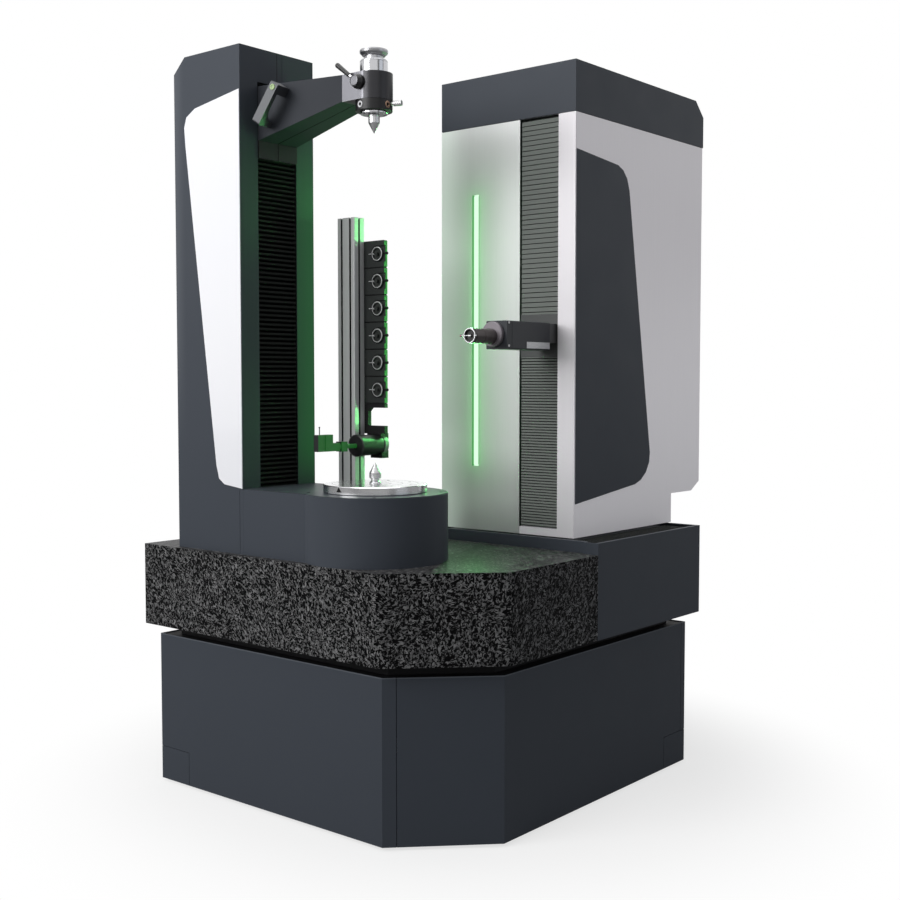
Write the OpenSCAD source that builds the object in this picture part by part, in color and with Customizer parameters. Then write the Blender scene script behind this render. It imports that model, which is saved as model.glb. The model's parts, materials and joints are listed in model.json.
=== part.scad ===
// Gear measuring machine: rotary table, tailstock and three-axis measuring column on a granite bed.
// Millimetres, +Z up, the front of the machine faces -Y.
// Places along Y are first counted from the front of the base, and machine() centres them.

/* [Base cabinet] */
// Width of the base cabinet
base_w = 1200; // [1150:1:1300]
// Depth of the base cabinet
base_d = 1240; // [1200:1:1320]
// Height of the base panels
base_h = 470; // [440:1:520]
// Gap between the floor and the base panels
floor_gap = 10; // [6:1:20]
// Cut across the front right corner, along each side
corner_cut = 238; // [200:1:280]
// How far the front panel wraps round the cut corner
panel_wrap = 27; // [20:1:40]
// Thickness of the sheet-metal panels
sheet = 3; // [2:0.5:4]
// Open seam between two panels
seam = 1.6; // [1:0.1:3]
// Length of a lower corner access cover along each side
access_len = 134; // [100:1:160]
// Height of a lower corner access cover
access_h = 104; // [80:1:130]
// Width of the welded frame tubes
tube = 80; // [70:1:90]
// Radius of a levelling foot's pad
foot_r = 45; // [35:1:55]
// Side of the post over a levelling foot
stay = 60; // [50:1:80]

/* [Granite bed] */
// Height of the shadow gap between base and granite
shadow_gap = 33; // [28:1:45]
// Height of the granite bed
granite_h = 256; // [220:1:300]
// Overhang of the granite over the base on all sides
overhang = 33; // [28:1:40]
// Rounding of the granite's cut corner
granite_round = 40; // [20:1:60]
// Inset of the dark skirt in the shadow gap
skirt_inset = 46; // [30:1:60]

/* [Rear cover and way covers] */
// Start of the rear cover, from the front of the base
trough_y = 652; // [640:1:660]
// Rise of the rear cover's rim over the granite
trough_rise = 35; // [34:1:40]
// Thickness of the rear cover's walls
trough_wall = 4; // [3:0.5:5]
// Width of the folded rim of the rear cover
rim_w = 12; // [8:1:16]
// Pitch of the pleats of the horizontal way covers
x_pleat = 12; // [10:1:16]
// Pitch of the pleats of the upright way covers
z_pleat = 17; // [14:1:22]
// Depth of the pleats of the upright way covers
pleat_depth = 16; // [12:1:18]
// Thickness of the way-cover fabric
fabric_t = 1.2; // [1:0.1:2]

/* [Rotary table] */
// Table axis along X
table_x = 174; // [160:1:190]
// Table axis from the front of the base
table_y = 178; // [170:1:190]
// Radius of the table housing
housing_r = 211; // [200:1:211]
// Height of the table housing over the granite
housing_h = 194; // [180:1:220]
// Radius of the face plate
plate_r = 150; // [130:1:155]
// Thickness of the face plate
plate_t = 24; // [20:1:30]
// Radius of the table spindle
spindle_r = 100; // [90:1:110]
// Pitch circle of the face plate's threaded holes
plate_pcd = 220; // [190:1:240]
// Radius of the face plate's threaded holes
plate_hole_r = 5; // [4:0.5:6]
// Height of the lower centre's tip over the face plate
centre_h = 61; // [55:1:70]
// Running clearance of spindles, quill and centres
fit_gap = 0.05; // [0.02:0.01:0.1]
// Clearance between parts that move past each other
run_gap = 0.3; // [0.3:0.1:0.5]

/* [Tailstock column] */
// Left side of the tailstock column
tail_x0 = -490; // [-500:1:-480]
// Width of the tailstock column
tail_w = 302; // [280:1:305]
// Front side of the tailstock column, from the front of the base
tail_y0 = -8; // [-12:1:0]
// Depth of the tailstock column
tail_d = 296; // [285:1:310]
// Top of the tailstock column over the granite
tail_h = 1498; // [1450:1:1550]
// Bevel at the top of the column's rear edge, along X
tail_bevel_x = 51; // [40:1:60]
// Bevel at the top of the column's rear edge, along Z
tail_bevel_z = 46; // [40:1:60]
// Front edge of the way-cover recess, from the front of the base
recess_y0 = 61; // [50:1:70]
// Width of the way-cover recess
recess_w = 156; // [150:1:170]
// Depth of the way-cover recess
recess_d = 42; // [40:1:46]
// Wall that the way-cover recess leaves over it at the top of the column
recess_top = 98; // [80:1:110]

/* [Tailstock arm] */
// Top of the arm under the top of its column
arm_drop = 111; // [109:1:128]
// Height of the arm where it leaves the column
arm_root_h = 159; // [150:1:170]
// Height of the arm at the head
arm_tip_h = 75; // [70:1:80]
// Radius of the round nose of the head
head_r = 54; // [50:1:58]
// Height of the head block
head_h = 76; // [72:1:82]
// Radius of the quill
quill_r = 26; // [24:1:28]
// Height of the carriage plate that shows under the arm
carriage_h = 51; // [45:1:60]
// Thickness of the shells of the arm
shell_t = 6; // [4:1:8]

/* [Stylus rack] */
// Left side of the rack's post
post_x = -140; // [-146:1:-136]
// Front of the rack's post, from the front of the base
post_y = 345; // [340:1:350]
// Width of the post
post_w = 72; // [70:1:76]
// Depth of the post
post_d = 45; // [42:1:48]
// Top of the post over the granite
post_h = 1022; // [1000:1:1040]
// Width of the mouth of a T slot
slot_w = 8; // [6:1:10]
// Thickness of the rack's foot plate
foot_plate_t = 14; // [10:1:18]
// Width of a stylus holder
holder_w = 80; // [78:1:82]
// Pitch of the stylus holders
holder_pitch = 84; // [84:0.5:86]
// Thickness of a stylus holder
holder_t = 14; // [12:1:16]
// Underside of the lowest holder over the granite
holder_z = 447; // [440:1:450]
// Radius of a parked stylus module
module_r = 22; // [20:0.5:24]

/* [Measuring column] */
// Left side of the measuring column
col_x0 = -5; // [-10:1:0]
// Width of the measuring column
col_w = 523; // [515:1:528]
// Front of the measuring column, from the front of the base
col_y0 = 692; // [688:1:700]
// Depth of the measuring column
col_d = 789; // [780:1:800]
// Height of the column's side over the rear cover's rim
col_h = 1442; // [1400:1:1480]
// Height of the dark cap
cap_h = 153; // [140:1:170]
// Height of the cap's bevelled rear edge
cap_bevel = 50; // [40:1:60]
// Depth of the column's foot, which the overhang leaves
foot_d = 590; // [585:1:596]
// Clearance between the rear cover's rim and the column
foot_gap = 2; // [1:0.5:4]
// Left edge of the way-cover recess in the column
slide_x0 = 312; // [308:1:314]
// Width of the way-cover recess in the column
slide_w = 144; // [142:1:148]
// Height of the sill under the way-cover recess
sill_h = 23; // [18:1:30]
// Left edge of the light strip
light_x = 127; // [115:1:140]
// Width of the light strip
light_w = 23; // [18:1:28]
// Lower end of the light strip over the rim
light_z = 213; // [200:1:230]
// Length of the light strip
light_len = 856; // [820:1:880]
// Front edge of the dark side inset, from the column's front
inset_y = 6; // [5:1:10]

/* [Measuring slide] */
// Height of the probe axis over the granite at rest
probe_z = 646; // [630:1:660]
// Height of the carriage plate
slide_plate_h = 131; // [120:1:140]
// Width of the probe arm
arm_w = 76; // [70:1:80]
// Height of the probe arm
probe_arm_h = 83; // [80:1:88]
// Length of the probe arm's housing
probe_arm_len = 215; // [200:1:230]
// Length of the neck between column and probe arm
neck_len = 35; // [35:1:40]
// Distance of the probe axis from the arm's left side
probe_off = 27; // [26:1:30]
// Radius of the stylus module on the probe
probe_r = 22; // [20:0.5:24]
// Distance from the arm's end to the front of the stylus module
probe_len = 114; // [110:1:120]
// Radius of the ruby ball
ball_r = 4; // [2:0.5:5]
// Distance of the ruby ball from the probe axis
ball_off = 32; // [30:1:36]

/* [Hidden] */
$fn = 64;
eps = 0.01;

// Heights
base_top = floor_gap + base_h;
granite_z0 = base_top + shadow_gap;
granite_z1 = granite_z0 + granite_h;
rim_z = granite_z1 + trough_rise;
housing_z1 = granite_z1 + housing_h;
lid_t = 2;
plate_z0 = housing_z1 + lid_t + run_gap;
plate_z1 = plate_z0 + plate_t;
tail_z1 = granite_z1 + tail_h;
arm_z1 = tail_z1 - arm_drop;
recess_z1 = tail_z1 - recess_top;
col_z0 = rim_z + foot_gap;
col_z1 = rim_z + col_h;
cap_z0 = col_z1 - cap_h;
sill_z = col_z0 + sill_h;
probe_axis_z = granite_z1 + probe_z;

// Sides along X and Y
half_w = base_w / 2;
tail_x1 = tail_x0 + tail_w;
tail_y1 = tail_y0 + tail_d;
recess_y1 = recess_y0 + recess_w;
recess_x = tail_x1 - recess_d;
col_x1 = col_x0 + col_w;
col_y1 = col_y0 + col_d;
slide_x1 = slide_x0 + slide_w;
trough_y1 = base_d + overhang;
housing_y0 = table_y - housing_r;
mid_y = (housing_y0 + col_y1) / 2;

// Wall of the two column castings
wall_t = 18;

// Steel frame and feet
frame_inset = sheet;
frame_z0 = 60;
frame_top = base_top - 40;
foot_ring = 150;
channel_t = 6;

module machine() translate([0, -mid_y, 0]) children();

// Outline of the base, moved inwards by t, with its cut corner
function base_plan(t) =
    let (k = t * (sqrt(2) - 1))
    [
        [-half_w + t, t], [half_w - corner_cut - k, t], [half_w - t, corner_cut + k],
        [half_w - t, base_d - t], [-half_w + t, base_d - t]
    ];

// Points of an arc about c, from angle a0 to a1
function arc(c, r, a0, a1, n) =
    [for (i = [0:n]) c + r * [cos(a0 + (a1 - a0) * i / n), sin(a0 + (a1 - a0) * i / n)]];

// A box given by its two corners
module span(a, b) translate(a) cube(b - a);

// A plan outline extruded between two heights
module slab(points, z0, z1) translate([0, 0, z0]) linear_extrude(z1 - z0) polygon(points);

// Ring of the base plan between two insets
module base_ring(t0, t1, z0, z1) {
    translate([0, 0, z0])
        linear_extrude(z1 - z0)
            difference() {
                polygon(base_plan(t0));
                polygon(base_plan(t1));
            }
}

// Pleated sheet: zigzag of n pleats over the length l along the first axis, pleat depth d
function zigzag(l, n, d) = [
    for (i = [0:2 * n]) [l * i / (2 * n), i % 2 == 0 ? 0 : d]
];
function pleats(l, n, d, t) = concat(
    zigzag(l, n, d),
    [for (i = [2 * n:-1:0]) zigzag(l, n, d)[i] - [0, t]]
);
function pleat_count(l, pitch) = max(2, round(l / pitch));

// Upright pleated cover between two heights; its outer folds lie at x = 0, the inner ones at -d
module upright_bellows(z0, z1, w, d, pitch) {
    n = pleat_count(z1 - z0, pitch);
    translate([0, 0, z0])
        rotate([90, -90, 0])
            linear_extrude(w)
                polygon(pleats(z1 - z0, n, d, fabric_t));
}

// Rounded bar outline in a plan, used by plates
module rounded_rect(w, h, r) {
    polygon(concat(
        arc([w - r, h - r], r, 0, 90, 6), arc([r, h - r], r, 90, 180, 6),
        arc([r, r], r, 180, 270, 6), arc([w - r, r], r, 270, 360, 6)
    ));
}

isolator_places = [
    [-half_w + foot_ring, foot_ring], [half_w - foot_ring, corner_cut + foot_ring / 2],
    [-half_w + foot_ring, base_d - foot_ring], [half_w - foot_ring, base_d - foot_ring]
];
foot_places = [
    for (p = isolator_places) p,
    [half_w - corner_cut - foot_ring, foot_ring]
];

// Cross beams of the base frame; the two rear ones carry the controller
cross_y = [corner_cut + foot_ring / 2, base_d - 520, base_d - foot_ring];

module levelling_feet() color("dimgray") machine()
    for (p = foot_places)
        translate([p.x, p.y, 0]) {
            cylinder(r = foot_r, h = 14);
            translate([0, 0, 14]) cylinder(r1 = foot_r * 0.6, r2 = 18, h = 12);
            cylinder(r = 12, h = frame_z0);
            translate([0, 0, frame_z0 - 16]) cylinder(r = 20, h = 16, $fn = 6);
        }

// Folded channel that follows the base, open towards the inside
module channel_ring(z) difference() {
    base_ring(frame_inset, frame_inset + tube, z, z + tube);
    base_ring(frame_inset + channel_t, frame_inset + tube + 1, z + channel_t, z + tube - channel_t);
}

module base_frame() color("slategray") machine() {
    for (z = [frame_z0, frame_top - tube]) channel_ring(z);
    // posts over the feet, webs between posts and channels, head plates under the isolators
    for (p = foot_places) {
        span([p.x - stay / 2, p.y - stay / 2, frame_z0], [p.x + stay / 2, p.y + stay / 2, frame_top]);
        for (z = [frame_z0, frame_top - tube])
            span([p.x < 0 ? -half_w + frame_inset : p.x, p.y - channel_t, z],
                 [p.x < 0 ? p.x : half_w - (p.y < corner_cut ? corner_cut : frame_inset),
                  p.y + channel_t, z + tube]);
        span([p.x - foot_r - 5, p.y - foot_r - 5, frame_top - 12],
             [p.x + foot_r + 5, p.y + foot_r + 5, frame_top]);
        if (p.y < corner_cut)
            for (z = [frame_z0, frame_top - tube])
                span([p.x - channel_t, frame_inset, z], [p.x + channel_t, p.y, z + tube]);
    }
    for (y = cross_y)
        difference() {
            span([-half_w + frame_inset, y - tube / 2, frame_z0],
                 [half_w - frame_inset, y + tube / 2, frame_z0 + tube]);
            span([-half_w + frame_inset + tube, y - tube / 2 + channel_t, frame_z0 - 1],
                 [half_w - frame_inset - tube, y + tube / 2 - channel_t, frame_z0 + tube - channel_t]);
        }
}

// Region of a lower corner cover: the corner at (sx, sy) of the base
module access_region(sx, sy, grow) {
    l = access_len + grow;
    x0 = sx < 0 ? -half_w : half_w - l;
    y0 = sy < 0 ? 0 : base_d - l;
    span([x0 - eps, y0 - eps, floor_gap - 1], [x0 + l + eps, y0 + l + eps, floor_gap + access_h + grow]);
}

module access_regions(grow) {
    access_region(-1, -1, grow);
    access_region(1, 1, grow);
    access_region(-1, 1, grow);
}

module base_panel_shell() difference() {
    base_ring(0, sheet, floor_gap, base_top);
    access_regions(seam);
}

front_seam_x = half_w - corner_cut + panel_wrap;

module base_front_panel() color([0.24, 0.26, 0.28]) machine()
    intersection() {
        base_panel_shell();
        span([-half_w, 0, floor_gap], [front_seam_x, panel_wrap + sheet, base_top]);
    }

module base_side_panel() color([0.2, 0.21, 0.24]) machine()
    intersection() {
        base_panel_shell();
        span([front_seam_x + seam, 0, floor_gap], [half_w, base_d - panel_wrap, base_top]);
    }

module base_left_panel() color([0.2, 0.21, 0.24]) machine()
    intersection() {
        base_panel_shell();
        span([-half_w, panel_wrap + sheet + seam, floor_gap],
             [-half_w + sheet, base_d - panel_wrap, base_top]);
    }

// Rear panel with two fields of louvre slots for the controller's air
louvre_n = 9;
louvre_pitch = 22;
louvre_w = 190;
module base_rear_panel() color([0.2, 0.21, 0.24]) machine()
    difference() {
        intersection() {
            base_panel_shell();
            span([-half_w, base_d - panel_wrap + seam, floor_gap], [half_w, base_d, base_top]);
        }
        for (x = [-320, 130])
            for (i = [0:louvre_n - 1])
                span([x, base_d - 2 * sheet, 180 + i * louvre_pitch],
                     [x + louvre_w, base_d + 1, 188 + i * louvre_pitch]);
    }

module corner_access_covers() color([0.22, 0.24, 0.26]) machine()
    intersection() {
        base_ring(0, sheet, floor_gap, floor_gap + access_h);
        access_regions(0);
    }

module isolators() color("black") machine()
    for (p = isolator_places)
        translate([p.x, p.y, frame_top])
            rotate_extrude()
                polygon([
                    [0, 0], [48, 0], [48, 10], [40, 14], [46, 24], [46, 44], [40, 54],
                    [44, granite_z0 - frame_top - 8], [44, granite_z0 - frame_top],
                    [0, granite_z0 - frame_top]
                ]);

module shadow_skirt() color("black") machine() {
    base_ring(skirt_inset, skirt_inset + sheet, frame_top, granite_z0 - run_gap);
    base_ring(sheet + 0.5, skirt_inset + sheet, base_top - 2 * sheet, base_top - sheet);
    base_ring(sheet + 0.5, 2 * sheet, frame_top, base_top - sheet);
}

module controller_unit() color([0.55, 0.57, 0.6]) machine() {
    x0 = -300;
    y0 = cross_y[1] - 20;
    z0 = frame_z0 + tube;
    difference() {
        span([x0, y0, z0 + 12], [x0 + 520, y0 + 300, z0 + 212]);
        span([x0 + 3, y0 + 3, z0 + 15], [x0 + 517, y0 + 297, z0 + 209]);
        for (i = [0:7])
            span([x0 + 40 + i * 56, y0 + 296, z0 + 60], [x0 + 76 + i * 56, y0 + 301, z0 + 170]);
    }
    for (x = [x0 + 30, x0 + 430])
        span([x, cross_y[1] - tube / 2, z0], [x + 60, cross_y[2] + tube / 2, z0 + 12]);
}

granite_plan_front = concat(
    [[-half_w - overhang, -overhang]],
    arc([granite_fillet(-1).x, granite_fillet(-1).y], granite_round, -90, -45, 6),
    arc([granite_fillet(1).x, granite_fillet(1).y], granite_round, -45, 0, 6),
    [[half_w + overhang, trough_y], [-half_w - overhang, trough_y]]
);
// Centres of the two rounded edges of the cut corner
function granite_fillet(side) =
    let (c = corner_cut + overhang * (2 - sqrt(2)), s = granite_round * tan(22.5))
    side < 0
        ? [half_w + overhang - c - s, -overhang + granite_round]
        : [half_w + overhang - granite_round, -overhang + c + s];

module granite_bed() color([0.2, 0.2, 0.21]) machine() {
    slab(granite_plan_front, granite_z0, granite_z1);
    span([-half_w + 1, trough_y - 1, granite_z0], [half_w - 1, base_d, granite_z1]);
}

// Dark sheet cover: side and rear walls flush with the granite, front band, folded rim
trough_step = 12;
return_w = 52;
module rear_cover() color([0.19, 0.2, 0.22]) machine() {
    x = half_w + overhang;
    for (s = [-1, 1]) scale([s, 1, 1]) {
        span([x - trough_wall, trough_y, granite_z0], [x, trough_y1, rim_z]);
        span([x - return_w, trough_y, granite_z1], [x, trough_y + trough_wall, rim_z]);
        span([x - return_w, trough_y, granite_z1],
             [x - return_w + trough_wall, trough_y + trough_step + trough_wall, rim_z]);
        span([x - rim_w, trough_y, rim_z - sheet], [x, trough_y1, rim_z]);
        span([half_w - 1, trough_y, granite_z0], [x, trough_y + trough_wall, granite_z1]);
    }
    span([-x, trough_y1 - trough_wall, granite_z0], [x, trough_y1, rim_z]);
    span([-x, trough_y1 - rim_w, rim_z - sheet], [x, trough_y1, rim_z]);
    span([-x + return_w, trough_y + trough_step, granite_z1],
         [x - return_w, trough_y + trough_step + trough_wall, rim_z]);
    span([-x + return_w, trough_y + trough_step, rim_z - sheet],
         [x - return_w, trough_y + trough_step + rim_w, rim_z]);
    for (y = [trough_y + 60, trough_y1 - 120])
        for (s = [-1, 1]) scale([s, 1, 1])
            span([half_w - 1, y, granite_z1 - 70], [x, y + 40, granite_z1 - 30]);
    for (s = [-1, 1]) scale([s, 1, 1])
        span([300, base_d, granite_z1 - 70], [340, trough_y1, granite_z1 - 30]);
}

// X axis: two rails and the magnet track between them
rail_w = 34;
rail_h = 10;
x_rail_y = [trough_y + 110, base_d - 70];
track_y = (x_rail_y[0] + x_rail_y[1]) / 2;
module x_guideways() color("silver") machine() {
    for (y = x_rail_y)
        span([-half_w + 30, y - rail_w / 2, granite_z1],
            [half_w - 30, y + rail_w / 2, granite_z1 + rail_h]);
    span([-half_w + 30, track_y - 60, granite_z1], [half_w - 30, track_y + 60, granite_z1 + 5]);
}

// The horizontal way covers lie level with the rim, on both sides of the saddle
cover_y0 = trough_y + trough_step + trough_wall + 8;
cover_y1 = base_d - 6;
cover_z = rim_z - 17;
module x_bellows(x0, x1) {
    n = pleat_count(x1 - x0, x_pleat);
    translate([x0, cover_y1, cover_z])
        rotate([90, 0, 0])
            linear_extrude(cover_y1 - cover_y0)
                polygon(pleats(x1 - x0, n, 12, fabric_t));
}
module x_bellows_left() color([0.35, 0.35, 0.36]) machine()
    x_bellows(-half_w - overhang + trough_wall, col_x0 - run_gap);
module x_bellows_right() color([0.35, 0.35, 0.36]) machine()
    x_bellows(col_x1 + run_gap, half_w + overhang - trough_wall);

// Table housing: flat sides flush with the tailstock column, round nose about the table axis
module housing_plan(r, y0, y1) {
    translate([table_x, table_y]) circle(r, $fn = 160);
    translate([tail_x1 + run_gap, y0]) square([table_x - tail_x1 - run_gap, y1 - y0]);
}
housing_wall = 4;
module table_housing() color([0.19, 0.2, 0.22]) machine()
    difference() {
        translate([0, 0, granite_z1]) linear_extrude(housing_h) housing_plan(housing_r, tail_y0, tail_y1);
        translate([0, 0, granite_z1 - 1])
            linear_extrude(housing_h - housing_wall + 1)
                intersection() {
                    housing_plan(housing_r - housing_wall, tail_y0 + housing_wall, tail_y1 - housing_wall);
                    translate([tail_x1 + run_gap + housing_wall, -500]) square([1000, 1500]);
                }
        translate([table_x, table_y, granite_z1])
            cylinder(r = spindle_r + 12, h = housing_h + 1, $fn = 120);
        // seam where the front panel meets the nose
        rotate_about([table_x, table_y], -127.5)
            translate([housing_r - 1.2, -0.8, granite_z1]) cube([3, 1.6, housing_h]);
    }
module rotate_about(c, a) translate([c.x, c.y, 0]) rotate([0, 0, a]) children();

// Lid of the housing with its button-head screws
lid_screws = [-132, -48, 36, 120];
module housing_top_plate() color([0.22, 0.23, 0.25]) machine() {
    translate([0, 0, housing_z1])
        linear_extrude(lid_t)
            difference() {
                housing_plan(housing_r - 3, tail_y0 + 3, tail_y1 - 3);
                translate([table_x, table_y]) circle(spindle_r + 12, $fn = 120);
            }
    for (a = lid_screws)
        rotate_about([table_x, table_y], a)
            translate([housing_r - 19, 0, housing_z1]) cylinder(r = 4.5, h = lid_t + 1.2, $fn = 32);
}

// Bearing and motor housing under the face plate
bearing_r = 165;
module table_bearing() color("gray") machine()
    translate([table_x, table_y, granite_z1])
        difference() {
            union() {
                cylinder(r = bearing_r, h = 60, $fn = 120);
                cylinder(r = spindle_r + 10, h = housing_h - 10, $fn = 120);
            }
            translate([0, 0, 20]) cylinder(r = spindle_r - 20 + fit_gap, h = housing_h, $fn = 120);
            translate([0, 0, 40]) cylinder(r = spindle_r - 8, h = 60, $fn = 120);
        }

module table_spindle() color("silver") machine()
    translate([table_x, table_y, granite_z1]) {
        translate([0, 0, 20 + run_gap])
            cylinder(r = spindle_r - 20, h = housing_h - 20 - run_gap, $fn = 120);
        translate([0, 0, 45]) cylinder(r = spindle_r - 10, h = 50, $fn = 120);
        translate([0, 0, housing_h - 10 + run_gap])
            cylinder(r = spindle_r + 10, h = 10 + lid_t, $fn = 120);
    }

// Face plate: chamfered disc with a ring of threaded holes and three concentric grooves
plate_holes = 8;
module face_plate() color([0.8, 0.8, 0.82]) machine()
    translate([table_x, table_y, plate_z0])
        difference() {
            rotate_extrude($fn = 160)
                polygon([
                    [0, 0], [plate_r - 2, 0], [plate_r, 2], [plate_r, plate_t - 2],
                    [plate_r - 2, plate_t], [0, plate_t]
                ]);
            for (i = [0:plate_holes - 1])
                rotate([0, 0, 22.5 + i * 360 / plate_holes])
                    translate([plate_pcd / 2, 0, plate_t - 18])
                        cylinder(r = plate_hole_r, h = 19);
            for (r = [45, 80, 125])
                translate([0, 0, plate_t - 1])
                    difference() {
                        cylinder(r = r + 0.8, h = 2, $fn = 120);
                        cylinder(r = r - 0.8, h = 2, $fn = 120);
                    }
        }

// Lower centre: flared foot, waist, collar and 60 degree cone
centre_r = 17;
module lower_centre() color([0.75, 0.75, 0.77]) machine()
    translate([table_x, table_y, plate_z1])
        rotate_extrude()
            polygon([
                [0, 0], [centre_r, 0], [centre_r, 3], [centre_r - 5, 8], [centre_r - 5, 13],
                [centre_r, 16], [centre_r, centre_h - 30], [0.5, centre_h], [0, centre_h]
            ]);

// Column outline in the X-Z plane, moved inwards by t
function tail_profile(t) = [
    [tail_x0 + t, granite_z1], [tail_x1 - t, granite_z1], [tail_x1 - t, tail_z1 - t],
    [tail_x0 + tail_bevel_x + 0.4 * t, tail_z1 - t], [tail_x0 + t, tail_z1 - tail_bevel_z - 0.4 * t]
];
module upright(points, y0, y1)
    translate([0, y1, 0]) rotate([90, 0, 0]) linear_extrude(y1 - y0) polygon(points);

module tail_column_casting() color("gray") machine() {
    x0 = tail_x0 + 30;
    difference() {
        span([x0, tail_y0 + 30, granite_z1], [recess_x, tail_y1 - 30, tail_z1 - 90]);
        span([x0 + wall_t, tail_y0 + 30 + wall_t, granite_z1 + 30],
             [recess_x - wall_t, tail_y1 - 30 - wall_t, tail_z1 - 89]);
    }
    // ledge under the way cover, foot flange and the stays that carry the cover
    span([recess_x - 1, recess_y0 + 1, housing_z1 - 16], [tail_x1 - 4, recess_y1 - 1, housing_z1 + lid_t]);
    span([tail_x0 + 10, tail_y0 + 10, granite_z1], [recess_x, tail_y1 - 10, granite_z1 + 30]);
    for (z = [granite_z1 + 500, granite_z1 + 1150])
        span([tail_x0 + sheet, tail_y0 + sheet, z], [x0 + 20, tail_y1 - sheet, z + 40]);
}

module tail_column_cover() color([0.19, 0.2, 0.22]) machine()
    difference() {
        upright(tail_profile(0), tail_y0, tail_y1);
        upright(tail_profile(sheet), tail_y0 + sheet, tail_y1 - sheet);
        // way-cover recess and its pocket
        span([recess_x, recess_y0, housing_z1], [tail_x1 + 1, recess_y1, recess_z1]);
        // seam of the side panel, the seam over the recess, and the white panel's seat
        span([tail_x1 - 16, tail_y0 - 1, granite_z1], [tail_x1 - 14.6, tail_y0 + 1, granite_z1 + 192]);
        span([tail_x1 - 1, (recess_y0 + recess_y1) / 2 + 20, recess_z1],
             [tail_x1 + 1, (recess_y0 + recess_y1) / 2 + 21.4, tail_z1]);
    }

// White side panel: tapers downwards and has its outer corners rounded
side_panel = [
    [tail_x1 - 2, granite_z1 + 1368], [-391, granite_z1 + 1337], [-430, granite_z1 + 1316],
    [-441, granite_z1 + 1286], [-436, granite_z1 + 1230], [-306, granite_z1 + 262],
    [-294, granite_z1 + 222], [-270, granite_z1 + 206], [tail_x1 - 2, granite_z1 + 197]
];
panel_t = 2;
module tail_side_panel() color("white") machine()
    upright(side_panel, tail_y0 - panel_t, tail_y0);

// Rails on the casting, and the rodless cylinder that lifts the arm
tail_rail_y = [recess_y0 + 16, recess_y1 - 16];
tail_rail_w = 20;
module tail_guide_rails() color("silver") machine()
    for (y = tail_rail_y)
        span([recess_x, y - tail_rail_w / 2, housing_z1 + 10],
             [recess_x + rail_h, y + tail_rail_w / 2, tail_z1 - 100]);

cylinder_r = 8;
cylinder_x = recess_x + cylinder_r + 3;
tail_mid_y = (recess_y0 + recess_y1) / 2;
module tail_lift_cylinder() color("lightgray") machine() {
    translate([cylinder_x, tail_mid_y, housing_z1 + lid_t + 2])
        cylinder(r = cylinder_r, h = tail_z1 - 104 - housing_z1);
    for (z = [housing_z1 + lid_t + 2, tail_z1 - 122])
        span([recess_x, tail_mid_y - 16, z], [recess_x + 2 * cylinder_r + 4, tail_mid_y + 16, z + 24]);
}

// Pleated covers of the tailstock ways, under and over the carriage
carriage_z0 = arm_z1 - arm_root_h - carriage_h;
tail_pleat_x = tail_x1 - 5;
folded_pitch = 3;
module tail_bellows(z0, z1, pitch)
    translate([tail_pleat_x, recess_y1 - 1, 0])
        upright_bellows(z0, z1, recess_w - 2, pleat_depth, pitch);
module tail_lower_bellows() color([0.1, 0.1, 0.1]) machine()
    tail_bellows(housing_z1 + lid_t, carriage_z0 - run_gap, z_pleat);
module tail_upper_bellows() color([0.1, 0.1, 0.1]) machine()
    tail_bellows(arm_z1 + run_gap, tail_z1 - sheet, folded_pitch);

// T-slot post: outline with a slot in each narrow side and two in each wide side
function post_slots() = [for (x = [post_w / 4, 3 * post_w / 4]) for (s = [0, 1]) [x, s]];
slot_depth = 12;
slot_inner = 16;
module t_slot() {
    translate([-slot_w / 2, -1]) square([slot_w, slot_depth + 1]);
    translate([-slot_inner / 2, 4]) square([slot_inner, slot_depth - 4]);
}
module post_plan() difference() {
    rounded_rect(post_w, post_d, 2);
    for (p = post_slots())
        translate([p.x, p.y * post_d]) mirror([0, p.y]) t_slot();
    translate([0, post_d / 2]) rotate(-90) t_slot();
    translate([post_w, post_d / 2]) rotate(90) t_slot();
    for (x = [post_w / 4, 3 * post_w / 4]) translate([x, post_d / 2]) circle(4);
}
module rack_post() color("silver") machine()
    translate([post_x, post_y, granite_z1 + foot_plate_t])
        linear_extrude(post_h - foot_plate_t) post_plan();

module rack_foot() color("dimgray") machine()
    difference() {
        span([post_x - 30, post_y - 10, granite_z1],
             [post_x + post_w + 30, post_y + post_d + 40, granite_z1 + foot_plate_t]);
        for (x = [post_x - 15, post_x + post_w + 15])
            for (y = [post_y + 6, post_y + post_d + 24])
                translate([x, y, granite_z1 - 1]) cylinder(r = 5.5, h = foot_plate_t + 2);
    }

// Six holder plates with a cradle for a stylus module, bolted behind the post's right edge
holder_n = 6;
holder_y = post_y + post_d;
holder_x = post_x + post_w + 5;
cradle_x = holder_x + holder_w - 30;
function holder_base(i) = granite_z1 + holder_z + i * holder_pitch;
pocket_d = 6;
function holder_mid(i) = holder_base(i) + holder_pitch / 2;
module stylus_holders() color([0.1, 0.1, 0.1]) machine()
    for (i = [0:holder_n - 1])
        difference() {
            translate([0, holder_y + holder_t, holder_base(i)])
                rotate([90, 0, 0])
                    linear_extrude(holder_t)
                        translate([holder_x - 25, 0]) rounded_rect(holder_w + 25, holder_pitch - 1.2, 4);
            translate([cradle_x, holder_y - 1, holder_mid(i)]) rotate([-90, 0, 0]) {
                cylinder(r = module_r - 5 + 0.3, h = holder_t + 2);
                cylinder(r = module_r + 3, h = pocket_d + 1);
            }
            // the pocket is open to the right, so that a module can be taken out sideways
            span([cradle_x, holder_y - 1, holder_mid(i) - module_r - 3],
                 [holder_x + holder_w + 1, holder_y + pocket_d, holder_mid(i) + module_r + 3]);
        }

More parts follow.
